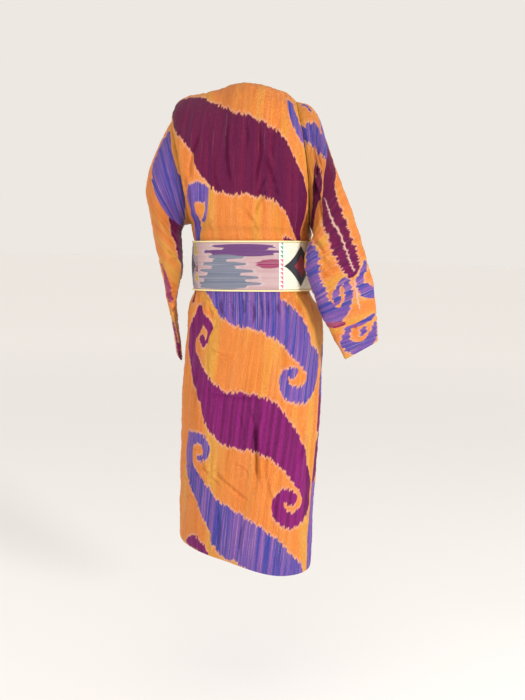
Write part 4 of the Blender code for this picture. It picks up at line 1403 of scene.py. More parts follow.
@dataclass(frozen=True)
class PlainCloth:
    """A plain woven cloth with small changes of colour, such as a lining or a felt."""

    name: str
    colour: tuple
    shade: tuple
    roughness: float = 0.8
    grain: float = 600.0
    sheen: float = 0.15
    rib: float = 0.00025
    relief: float = 0.4
    relief_depth: float = 0.0005
    clouds: float = 28.0

    def material(self) -> bpy.types.Material:
        """Builds the finish."""
        made, b, shader = new_material(self.name)
        across, along = b.place()
        cloud = b.stretched(across, along, self.clouds, self.clouds, 0.0, 3.0)
        nap = b.stretched(across, along, self.grain, self.grain, 5.0, 2.0)
        clouded = b.math("MULTIPLY", b.span(cloud, 0.35, 0.65), 0.5)
        mixed = b.math("MULTIPLY_ADD", b.span(nap, 0.3, 0.7), 0.5, clouded)
        colour = b.mix(mixed, self.colour, self.shade)
        rough = b.span(cloud, 0.3, 0.7, self.roughness - 0.05, self.roughness + 0.05)
        shader.inputs["Sheen Weight"].default_value = self.sheen
        threads = b.group(Groups.weave(), Across=across, Along=along, Rib=self.rib)
        height = b.math("MULTIPLY_ADD", nap, 0.8, threads["Height"])
        dress(b, shader, colour, rough, bump(b, height, self.relief, self.relief_depth))
        return made


@dataclass(frozen=True)
class FigureWeave:
    """Ivory cloth with a raised scrolling figure woven in it."""

    name: str
    colour: tuple
    shade: tuple
    scrolls: float = 62.0
    turns: float = 26.0
    sheen: float = 0.2
    rib: float = 0.00022
    relief: float = 0.5
    relief_depth: float = 0.0006

    def material(self) -> bpy.types.Material:
        """Builds the finish."""
        made, b, shader = new_material(self.name)
        across, along = b.place()
        scroll = b.stretched(across, along, self.scrolls, self.scrolls, 0.0, 0.5)
        lines = b.math("ABSOLUTE", b.math("SINE", b.math("MULTIPLY", scroll, self.turns)))
        figure = b.span(lines, 0.25, 0.75)
        fine = b.stretched(across, along, 900.0, 900.0, 0.0, 1.0)
        factor = b.math("MULTIPLY_ADD", fine, 0.25, b.math("MULTIPLY", figure, 0.6))
        colour = b.mix(factor, self.shade, self.colour)
        rough = b.span(figure, 0.0, 1.0, 0.75, 0.5)
        shader.inputs["Sheen Weight"].default_value = self.sheen
        threads = b.group(Groups.weave(), Across=across, Along=along, Rib=self.rib)
        height = b.math("MULTIPLY_ADD", figure, 3.0, threads["Height"])
        dress(b, shader, colour, rough, bump(b, height, self.relief, self.relief_depth))
        return made


@dataclass(frozen=True)
class ToothedStrip:
    """A narrow white strip with a row of small woven triangles, green above and rose below."""

    name: str
    colour: tuple
    above: tuple
    below: tuple
    turn_at: float
    pitch: float = 0.0105
    tooth: float = 0.0075
    rib: float = 0.00022
    relief: float = 0.4
    relief_depth: float = 0.0005

    def material(self) -> bpy.types.Material:
        """Builds the finish."""
        made, b, shader = new_material(self.name)
        across, along = b.place()
        climb = b.math("FRACT", b.math("DIVIDE", along, self.pitch))
        slant = b.math("SUBTRACT", across, b.math("MULTIPLY", climb, self.tooth))
        tooth = b.math("MULTIPLY", b.span(slant, 0.0005, -0.0005), b.span(across, -0.0005, 0.0005))
        thread = b.mix(b.span(along, self.turn_at - 0.001, self.turn_at + 0.001), self.below, self.above)
        fine = b.stretched(across, along, 1300.0, 1300.0, 0.0, 1.0)
        ground = b.mix(b.math("MULTIPLY", fine, 0.2), self.colour, thread)
        colour = b.mix(b.math("MULTIPLY", tooth, 0.9), ground, thread)
        rough = b.span(fine, 0.0, 1.0, 0.65, 0.8)
        threads = b.group(Groups.weave(), Across=across, Along=along, Rib=self.rib)
        height = b.math("ADD", threads["Height"], tooth)
        dress(b, shader, colour, rough, bump(b, height, self.relief, self.relief_depth))
        return made


@dataclass(frozen=True)
class CordFinish:
    """The twisted thread of the belt's piping, with painted shade in the grooves between its strands."""

    name: str
    colour: tuple
    # The painted shade of the grooves between the strands.
    shade: tuple
    round_turns: float = 460.0
    long_turns: float = 1900.0
    relief: float = 0.5
    relief_depth: float = 0.0004

    def material(self) -> bpy.types.Material:
        """Builds the finish."""
        made, b, shader = new_material(self.name)
        across, along = b.place()
        turn = b.math("MULTIPLY_ADD", across, self.round_turns, b.math("MULTIPLY", along, self.long_turns))
        strand = b.math("ABSOLUTE", b.math("SINE", turn))
        fine = b.stretched(across, along, 900.0, 700.0, 0.0, 2.0)
        # Painted shade: the colour falls to the shade tone in the grooves between the strands.
        colour = b.mix(b.math("MULTIPLY", strand, 0.8), self.shade, self.colour)
        rough = b.span(fine, 0.2, 0.8, 0.5, 0.65)
        normal = bump(b, b.math("ADD", strand, fine), self.relief, self.relief_depth)
        dress(b, shader, colour, rough, normal)
        return made


MM_IN_METRE = 1000.0


def drawn(*rows: tuple[float, float, float]) -> Stroke:
    """A dyed stroke through rows, in mm, of: across the cut cloth, along it, half the width."""
    return Stroke(tuple(Spot(*(value / MM_IN_METRE for value in row)) for row in rows))


@dataclass(frozen=True)
class Curl:
    """A curled end of a stroke, in mm, wound about a point, with a blob where it stops."""

    across: float
    along: float
    start_deg: float
    sweep_deg: float
    start_radius: float
    end_radius: float
    start_half: float
    end_half: float
    blob: float
    swell: float = 0.0
    blob_step: float = 1.2
    blob_turn_deg: float = 165.0

    def rows(self, count: int = 7) -> list[tuple[float, float, float]]:
        """The spots that it passes."""
        found = []
        for k in range(count):
            t = k / (count - 1)
            angle = math.radians(self.start_deg + self.sweep_deg * t)
            radius = self.start_radius + (self.end_radius - self.start_radius) * t
            half = self.start_half + (self.end_half - self.start_half) * t
            half += self.swell * math.sin(math.pi * t)
            across, along = radius * math.cos(angle), radius * math.sin(angle)
            found.append((self.across + across, self.along + along, half))
        across, along, _ = found[-1]
        step = self.blob_step * self.blob
        back = math.copysign(self.blob_turn_deg, self.sweep_deg)
        turn = math.radians(self.start_deg + self.sweep_deg + back)
        found.append((across + step * math.cos(turn), along + step * math.sin(turn), self.blob))
        return found


def turned_over(
    strokes: tuple[Stroke, ...], across: float | None, along: float | None
) -> tuple[Stroke, ...]:
    """The same strokes mirrored about a line across the cloth, along it, or both.

    Args:
        strokes: The strokes to mirror.
        across: Twice the place across that stays, or None to leave it.
        along: Twice the place along that stays, or None to leave it.

    Returns:
        The mirrored strokes.
    """
    found = []
    for stroke in strokes:
        spots = []
        for spot in stroke.spots:
            new_across = spot.across if across is None else across - spot.across
            new_along = spot.along if along is None else along - spot.along
            spots.append(Spot(new_across, new_along, spot.half))
        found.append(Stroke(tuple(spots)))
    return tuple(found)


UPPER_S = (
    drawn(
        (160, -40, 45), (122, -70, 52), (67, -120, 67), (33, -155, 89), (-30, -178, 84),
        (-70, -200, 65), (-105, -235, 48), (-125, -285, 28), (-133, -340, 12), (-133, -378, 5),
    ),
    drawn((58, -188, 46), (52, -214, 38), (18, -220, 38)),
    drawn((-96, -371, 4), (-114, -372, 5)),
)
SHOULDER_S = (
    drawn((205, 0, 30), (160, -35, 50), (122, -65, 53), (68, -105, 68)),
)
SKIRT_S = (
    drawn(
        (155, -612, 17), (157, -645, 17), (140, -680, 20), (115, -720, 26), (95, -745, 29),
        (65, -775, 36), (35, -805, 56), (0, -820, 70), (-35, -820, 70), (-65, -825, 64),
        (-95, -845, 53), (-125, -865, 45), (-155, -895, 37), (-180, -930, 30), (-203, -965, 23),
        *Curl(-169, -1009, 168, 238, 45, 35, 16, 10, 18, 6).rows(),
    ),
)
SKIRT_HOOK = (
    drawn((130, -545, 8), (130, -565, 14), (137, -587, 21), (155, -612, 18)),
    drawn(*Curl(127, -606, 88, 145, 34, 35, 14, 4, 4).rows()),
    drawn((115, -622, 10), (109, -637, 6)),
    drawn((160, -490, 4), (153, -530, 5)),
)
HEM_SPOT = (
    drawn((115, -1180, 8), (90, -1170, 18), (65, -1178, 15), (45, -1185, 7)),
)
BLUE_S = (
    drawn(
        (65, -515, 27), (40, -525, 45), (-5, -535, 53), (-40, -545, 47), (-73, -562, 44),
        (-104, -582, 41), (-130, -613, 35), (-156, -646, 28), (-186, -668, 31),
        *Curl(-147, -703, 166, 213, 48, 38, 25, 7, 14, 3).rows(),
    ),
    drawn((104, -496, 10), (82, -508, 18)),
    drawn((-20, -500, 40), (-60, -508, 24)),
)
LOW_BLUE_S = (
    drawn(
        (136, -878, 9), (131, -893, 17), (133, -925, 17), (130, -955, 17), (118, -980, 20),
        (95, -1007, 25), (65, -1038, 29), (35, -1070, 36), (0, -1095, 47), (-40, -1117, 58),
        (-75, -1130, 57), (-115, -1148, 55), (-150, -1170, 47), (-190, -1190, 36),
    ),
    drawn((10, -1137, 24), (-15, -1153, 30)),
    drawn(*Curl(98, -915, 42, 215, 34, 24, 16, 6, 4).rows()),
)
STRIP_HOOK = (
    drawn((136, -226, 14), (120, -240, 22), (104, -250, 18), (95, -264, 8)),
    drawn((93, -262, 7), (93, -292, 6), (104, -318, 7)),
    drawn((140, -240, 12), (136, -285, 10), (130, -328, 13), (140, -360, 14), (145, -395, 10)),
)
RIGHT_EDGE_PURPLE = (drawn((-240, -705, 6), (-252, -765, 16), (-250, -835, 14)),)
RIGHT_EDGE_BLUE = (drawn((-252, -985, 13), (-255, -1060, 20), (-250, -1135, 14)),)
LEFT_FRONT_PURPLE = (
    drawn((262, -1015, 16), (285, -1070, 36), (300, -1130, 38), (330, -1170, 30)),
)
LEFT_FRONT_BLUE = (drawn((262, -720, 12), (272, -780, 24), (268, -840, 20)),)
LEFT_SLEEVE_BLUE = (
    drawn(
        (10, 60, 5), (24, 70, 18), (42, 82, 34), (52, 122, 40), (52, 162, 42), (40, 200, 38),
        (36, 235, 34), (30, 268, 18),
    ),
)
LEFT_SLEEVE_PURPLE = (
    drawn((62, 178, 14), (72, 212, 30), (92, 218, 42), (145, 192, 36), (195, 178, 30), (225, 180, 10)),
)
LEFT_SLEEVE_TOUCH = (
    drawn((275, 56, 6), (300, 66, 13), (322, 63, 20), (346, 58, 9)),
)
LEFT_SLEEVE_END = (
    drawn((412, 54, 7), (455, 58, 6), (500, 58, 11)),
    drawn((385, 105, 6), (435, 92, 8), (480, 85, 6)),
)
SHOULDER_HOOK = (
    drawn(
        (-2, 118, 12), (12, 128, 18), (34, 100, 21), (54, 70, 18), (75, 48, 16), (66, 28, 13),
        (52, 14, 11), (36, 6, 9), (20, 0, 7),
    ),
    drawn((12, 30, 5), (19, 42, 3)),
)
SHOULDER_EDGE = (
    drawn((-112, -4, 8), (-116, -34, 11), (-124, -62, 12), (-138, -90, 11), (-150, -110, 8)),
)
RIGHT_SLEEVE_PURPLE = (
    drawn(
        (84, 18, 10), (105, 34, 21), (115, 65, 22), (131, 88, 34), (160, 86, 31), (196, 75, 27),
        (228, 70, 27), (272, 62, 26), (303, 60, 21), (320, 70, 7),
    ),
)
RIGHT_FOLD_PURPLE = (
    drawn((85, 125, 18), (65, 165, 28), (55, 205, 28), (45, 245, 24)),
    drawn((75, 190, 16), (52, 285, 18), (45, 325, 12)),
)
RIGHT_SLEEVE_BLUE = (
    drawn(
        (183, 170, 10), (233, 152, 20), (262, 160, 23), (287, 161, 21), (318, 160, 20), (355, 153, 23),
        (386, 130, 21), (397, 106, 17), (378, 86, 12), (348, 79, 10), (326, 86, 7), (326, 100, 6),
        (345, 112, 10), (360, 110, 10),
    ),
    drawn((312, 20, 6), (334, 42, 9), (350, 47, 10), (366, 36, 13), (377, 14, 10)),
    drawn((433, 90, 3), (432, 52, 5), (422, 16, 5)),
    drawn(
        (440, 85, 7), (458, 92, 11), (476, 80, 13), (488, 56, 14), (486, 32, 15), (468, 19, 13),
        (444, 15, 7),
    ),
    drawn((450, 46, 8), (454, 46, 8)),
)
RIGHT_SLEEVE_TOUCH = (
    drawn((411, 140, 6), (418, 115, 7), (421, 92, 5)),
    drawn((435, 67, 4), (439, 67, 3)),
)
RIGHT_SLEEVE_PALE = (
    drawn((123, 108, 1.5), (150, 95, 2), (192, 80, 2.5), (232, 65, 2), (315, 57, 2)),
    drawn((332, 61, 1.5), (360, 60, 3), (398, 54, 1.5)),
)


def banded(*rows: tuple[float, float, float, float]) -> tuple[Stroke, ...]:
    """Long pointed teeth on the belt, from rows in mm of: height, start, end, half the tooth's height."""
    found = []
    for z, a, b, half in rows:
        first, last = (z, a, 0.5 * half), (z, b, 0.5 * half)
        found.append(drawn(first, (z, 0.7 * a + 0.3 * b, half), (z, 0.3 * a + 0.7 * b, half), last))
    return tuple(found)


BELT_PURPLE = banded(
    (-389, 74, -60, 5.2), (-396, 50, -44, 6.8), (-402, 93, -80, 5.2), (-408, 77, -60, 5.2),
)
BELT_GREY = banded(
    (-415, 90, 14, 5.2), (-423, 74, 46, 6.8), (-432, 99, 0, 5.2), (-441, 74, 22, 6.8),
    (-449, 108, -16, 5.2), (-457, 90, 16, 6.8), (-465, 112, -29, 5.2), (-473, 98, 3, 6.8),
    (-480, 116, -29, 5.2), (-487, 108, 1, 7),
)
BELT_TOUCH = banded((-431.5, -31, -84, 10.5))
BELT_SIDE_YELLOW = (
    drawn((-380, 136, 5), (-398, 132, 5), (-415, 116, 4)),
    drawn((-452, 122, 4), (-472, 126, 5), (-484, 112, 4)),
)
BELT_SIDE_RED = (drawn((-418, 119, 3), (-435, 116, 4), (-450, 127, 3)),)


def creased(*rows: tuple[float, float, float, float, float, float]) -> tuple[Crease, ...]:
    """Creases from rows in mm of: across, along, length, lean in degrees from the warp, width, depth."""
    found = []
    for across, along, length, lean, width, depth in rows:
        reach = length / 2
        dx, dy = reach * math.sin(math.radians(lean)), reach * math.cos(math.radians(lean))
        row = (across + dx, along + dy, across - dx, along - dy, width, depth)
        found.append(Crease(*(value / MM_IN_METRE for value in row)))
    return tuple(found)


BACK_CREASES = creased(
    (43, -160, 170, 5, 6, 5), (-20, -160, 175, -2, 6, 5.5), (5, -120, 70, 5, 5, 3.2),
    (-60, -210, 120, 20, 6, 4.6), (-40, -275, 75, -30, 5, 3.6), (-10, -325, 95, 35, 5, 3.5),
    (65, -210, 120, 10, 6, 3.6), (-75, -130, 100, -10, 6, 3.5), (-45, -235, 60, -25, 4, 3.6),
    (-30, -255, 50, 40, 4, 3.2), (-70, -245, 45, 60, 4, 2.7), (130, -150, 120, -10, 7, 5),
    (155, -240, 110, 5, 6, 5), (-150, -160, 110, 5, 6, 4.6), (-160, -260, 110, 0, 6, 5),
    (60, -540, 50, 8, 4, 4.6), (37, -545, 65, 0, 4, 5), (10, -535, 40, 5, 4, 4.2),
    (-10, -550, 70, 0, 4, 5.5), (-35, -540, 50, 8, 4, 4.2), (-54, -540, 55, 0, 4, 5),
    (-80, -535, 40, 5, 4, 4.2), (-106, -535, 50, 5, 4, 5), (-134, -530, 45, 22, 4, 4.2),
    (90, -545, 60, 12, 5, 4.6), (0, -750, 230, 92, 4, 4.6), (-25, -752, 35, 70, 3, 2.7),
    (55, -648, 85, 75, 4, 3.2), (45, -667, 65, 80, 4, 2.7), (48, -970, 85, 52, 4, 4.2),
    (-8, -990, 130, 60, 5, 4.6), (-25, -943, 65, 65, 4, 3.2), (80, -985, 50, 58, 3, 3.2),
    (135, -970, 55, -85, 3, 3.2), (130, -1013, 60, -85, 3, 3.2), (122, -1055, 55, -88, 3, 2.7),
    (-46, -890, 245, 10, 6, 5.5), (-74, -880, 225, 8, 6, 5), (-8, -842, 100, 10, 5, 3.2),
    (-106, -650, 120, 0, 6, 4.2), (-165, -865, 120, 0, 6, 4.2), (-117, -950, 200, 15, 6, 4.2),
    (138, -760, 160, 10, 6, 4.6), (20, -1110, 120, 5, 6, 3.6), (-50, -1120, 100, 0, 6, 3.6),
    (-140, -1120, 100, 5, 6, 3.2),
)
SLEEVE_LEFT_CREASES = creased(
    (20, 150, 105, 0, 6, 4.6), (38, 160, 70, -23, 5, 3.6), (108, 182, 45, 50, 5, 3.6),
    (150, 150, 80, 15, 5, 3.6), (215, 123, 45, 10, 4, 3.6), (230, 118, 85, -37, 4, 4.2),
    (330, 78, 75, -37, 4, 4.2), (366, 88, 70, -25, 4, 3.2), (450, 64, 85, -82, 3, 3.2),
    (100, -80, 120, 20, 6, 4.2), (240, -60, 90, 35, 5, 4.2), (330, -50, 80, -20, 5, 3.6),
)
SLEEVE_RIGHT_CREASES = creased(
    (65, 98, 40, -70, 4, 4.2), (35, 150, 85, -60, 6, 5), (100, 167, 200, -57, 7, 6.5),
    (215, 142, 105, -62, 5, 5.5), (252, 123, 80, -56, 5, 5.5), (282, 121, 70, -46, 5, 5),
    (310, 122, 60, -23, 5, 4.6), (338, 115, 60, -13, 4, 4.2), (236, 76, 50, -66, 4, 3.6),
    (373, 78, 50, 0, 4, 3.6), (333, 61, 85, 90, 5, 4.2), (391, 104, 50, 0, 4, 3.2),
    (120, -80, 120, 20, 6, 4.2), (250, -60, 100, 40, 5, 4.6), (330, -50, 80, -20, 5, 3.6),
)
FRONT_CREASES = creased(
    (330, -160, 150, 5, 6, 4.2), (420, -230, 120, -15, 6, 4.2), (300, -545, 70, 5, 4, 4.6),
    (360, -540, 55, 0, 4, 4.6), (400, -545, 65, -8, 4, 4.6), (350, -760, 180, 85, 4, 4.2),
    (400, -900, 240, 8, 6, 4.6), (300, -980, 180, -6, 6, 4.2), (350, -1080, 120, 50, 5, 3.6),
)
FRONT_RIGHT_CREASES = tuple(
    Crease(-c.across_a, c.along_a + 0.03, -c.across_b, c.along_b + 0.01, c.width, c.depth)
    for c in FRONT_CREASES
)


PATTERN = {
    "back_side_left": Dyes(SHOULDER_S + UPPER_S + SKIRT_HOOK + SKIRT_S + HEM_SPOT, LOW_BLUE_S + STRIP_HOOK),
    "back_side_right": Dyes(
        UPPER_S + SKIRT_S + RIGHT_EDGE_PURPLE, SHOULDER_EDGE + BLUE_S + LOW_BLUE_S + RIGHT_EDGE_BLUE
    ),
    "back_centre": Dyes(
        UPPER_S + SKIRT_S + RIGHT_EDGE_PURPLE, SHOULDER_EDGE + BLUE_S + LOW_BLUE_S + RIGHT_EDGE_BLUE
    ),
    "front_left": Dyes(
        LEFT_FRONT_PURPLE + turned_over(UPPER_S + SKIRT_S, 0.37, None),
        LEFT_FRONT_BLUE + turned_over(BLUE_S + LOW_BLUE_S, 0.37, None),
    ),
    "front_right": Dyes(
        RIGHT_EDGE_PURPLE + turned_over(UPPER_S + SKIRT_S, -0.43, None),
        RIGHT_EDGE_BLUE + turned_over(BLUE_S + LOW_BLUE_S, -0.43, None),
    ),
    "sleeve_left": Dyes(
        LEFT_SLEEVE_PURPLE + LEFT_SLEEVE_END + turned_over(RIGHT_SLEEVE_PURPLE, None, -0.03),
        LEFT_SLEEVE_BLUE + turned_over(LEFT_SLEEVE_BLUE, None, -0.04),
        LEFT_SLEEVE_TOUCH,
    ),
    "sleeve_right": Dyes(
        RIGHT_SLEEVE_PURPLE + RIGHT_FOLD_PURPLE + turned_over(RIGHT_SLEEVE_PURPLE, None, -0.03),
        SHOULDER_HOOK + RIGHT_SLEEVE_BLUE + turned_over(SHOULDER_HOOK + RIGHT_SLEEVE_BLUE, None, -0.03),
        RIGHT_SLEEVE_TOUCH,
        RIGHT_SLEEVE_PALE,
    ),
    "belt_back": Dyes(BELT_PURPLE, BELT_GREY, BELT_TOUCH),
    "belt_side_left": Dyes(
        BELT_SIDE_YELLOW + turned_over(BELT_SIDE_YELLOW, None, 0.34),
        (),
        BELT_SIDE_RED + turned_over(BELT_SIDE_RED, None, 0.34),
    ),
    "belt_front_left": Dyes(turned_over(BELT_PURPLE, None, 0.36), turned_over(BELT_GREY, None, 0.36)),
    "belt_front_right": Dyes(turned_over(BELT_PURPLE, None, -0.355), turned_over(BELT_GREY, None, -0.355)),
}
CREASES = {
    "back": BACK_CREASES,
    "front_left": FRONT_CREASES,
    "front_right": FRONT_RIGHT_CREASES,
    "sleeve_left": SLEEVE_LEFT_CREASES,
    "sleeve_right": SLEEVE_RIGHT_CREASES,
}


@dataclass(frozen=True)
class Cut:
    """How one piece was cut: its flat size and its area."""

    flat: tuple[float, float]
    area: float


CUTS = {
    "back_centre": Cut((0.37, 1.29), 0.340),
    "back_side_left": Cut((0.22, 1.29), 0.168),
    "back_side_right": Cut((0.08, 0.79), 0.035),
    "front_left": Cut((0.34, 1.29), 0.322),
    "front_right": Cut((0.34, 1.28), 0.308),
    "sleeve_left_upper": Cut((0.37, 0.69), 0.113),
    "sleeve_left_lower": Cut((0.16, 0.35), 0.036),
    "sleeve_left_end": Cut((0.12, 0.25), 0.024),
    "sleeve_right_upper": Cut((0.46, 0.77), 0.130),
    "sleeve_right_lower": Cut((0.13, 0.38), 0.038),
    "sleeve_right_end": Cut((0.09, 0.29), 0.019),
}


ORANGE_SILK = IkatFinish(
    name="ikat_silk",
    ground=tone(222, 131, 48),
    ground_deep=tone(212, 114, 38),
    ground_gold=tone(211, 152, 54),
    first_high=tone(106, 14, 61),
    first_low=tone(134, 24, 108),
    first_dark=tone(80, 6, 59),
    second=tone(56, 62, 150),
    second_pale=tone(126, 84, 158),
    touch=tone(143, 23, 87),
    fringe=tone(223, 179, 161),
)
BELT_SILK = IkatFinish(
    name="belt_ikat",
    ground=tone(187, 157, 157),
    ground_deep=tone(174, 141, 143),
    ground_gold=tone(196, 169, 163),
    first_high=tone(106, 66, 115),
    first_low=tone(106, 66, 115),
    first_dark=tone(91, 56, 106),
    second=tone(102, 110, 127),
    second_pale=tone(120, 122, 137),
    touch=tone(137, 19, 76),
    fringe=tone(207, 196, 203),
    reach=0.010,
    bundle=0.0075,
    soft=0.003,
    roughness=0.65,
    gold=0.3,
    selvage=0.0,
    crinkle=0.3,
)
SIDE_SILK = replace(
    BELT_SILK,
    name="belt_side_silk",
    ground=tone(153, 139, 151),
    ground_deep=tone(135, 122, 137),
    first_high=tone(195, 164, 64),
    first_low=tone(195, 164, 64),
    first_dark=tone(176, 143, 54),
    touch=tone(116, 23, 44),
    soft=0.002,
)
LINING = PlainCloth("lining", tone(110, 63, 73), tone(84, 43, 56))
IVORY = FigureWeave("belt_ivory", tone(212, 210, 192), tone(194, 191, 170))
STRIP = ToothedStrip("belt_strip", tone(216, 214, 207), tone(36, 127, 101), tone(179, 56, 87), -0.4185)
# Its second tone is painted shade for the grooves between the cord's strands.
CREAM_CORD = CordFinish("piping_cream", tone(234, 221, 174), tone(212, 186, 124))
BLACK_FELT = PlainCloth("applique_black", tone(21, 22, 30), tone(33, 33, 45), 0.85, 900.0, 0.3)
RED_FELT = PlainCloth("applique_red", tone(127, 24, 47), tone(101, 16, 36), 0.85, 900.0, 0.3)


def entry_for(name: str, table: dict[str, object], otherwise: object) -> object:
    """What a table holds under the start of a piece's name."""
    return next((held for start, held in table.items() if name.startswith(start)), otherwise)


@dataclass(frozen=True)
class Robe:
    """The robe's silk pieces, cut from the same sheets as the frame's solids."""

    cut: RobeCut = RobeCut()

    def pieces(self) -> list[ClothPiece]:
        """The pieces of the body and of both sleeves."""
        finishes = (ORANGE_SILK.material(), LINING.material())
        made = []
        for name, grid in self.sheets().items():
            dyes, creases = entry_for(name, PATTERN, Dyes()), entry_for(name, CREASES, ())
            plan = CUTS[name]
            made.append(
                ClothPiece(name, grid, plan.flat, plan.area, finishes, dyes=dyes, creases=creases)
            )
        return made

    def sheets(self) -> dict[str, ClothGrid]:
        """Each piece's own grid, under the name of its solid."""
        cut = self.cut
        back = cut.back()
        left = cut.left_strip * cut.fine
        right, skirt = left + cut.main, cut.under_belt_row()
        found = {
            "back_side_left": back.cut(slice(None), slice(0, left + 1)),
            "back_side_right": back.cut(slice(0, skirt + 1), slice(right, None)),
            "back_centre": back.cut(slice(None), slice(left, None)),
        }
        found["back_centre"].cells[:skirt, cut.main :] = False
        for side in Side:
            name = side.name.lower()
            found[f"front_{name}"] = cut.front(side)
            sleeve = cut.sleeve(side)
            form = SLEEVES[side]
            lower, end = form.lower_from * cut.sleeve_steps, form.end_from * cut.sleeve_steps
            found[f"sleeve_{name}_upper"] = sleeve.cut(slice(0, lower + 1), slice(None))
            found[f"sleeve_{name}_lower"] = sleeve.cut(slice(lower, end + 1), slice(None))
            found[f"sleeve_{name}_end"] = sleeve.cut(slice(end, None), slice(None))
        return found

    def build(self) -> list[bpy.types.Object]:
        """Makes every piece of the robe."""
        return [piece.build() for piece in self.pieces()]


@dataclass(frozen=True)
class BeltPanel:
    """One length of the belt, from one share of the ring to another."""

    name: str
    start: float
    end: float


@dataclass(frozen=True)
class Applique:
    """A diamond of felt on the belt, with a smaller one on it."""

    side: str
    share: float
    half_share: float
    half_height: float
    patch_half_share: float
    patch_half_height: float


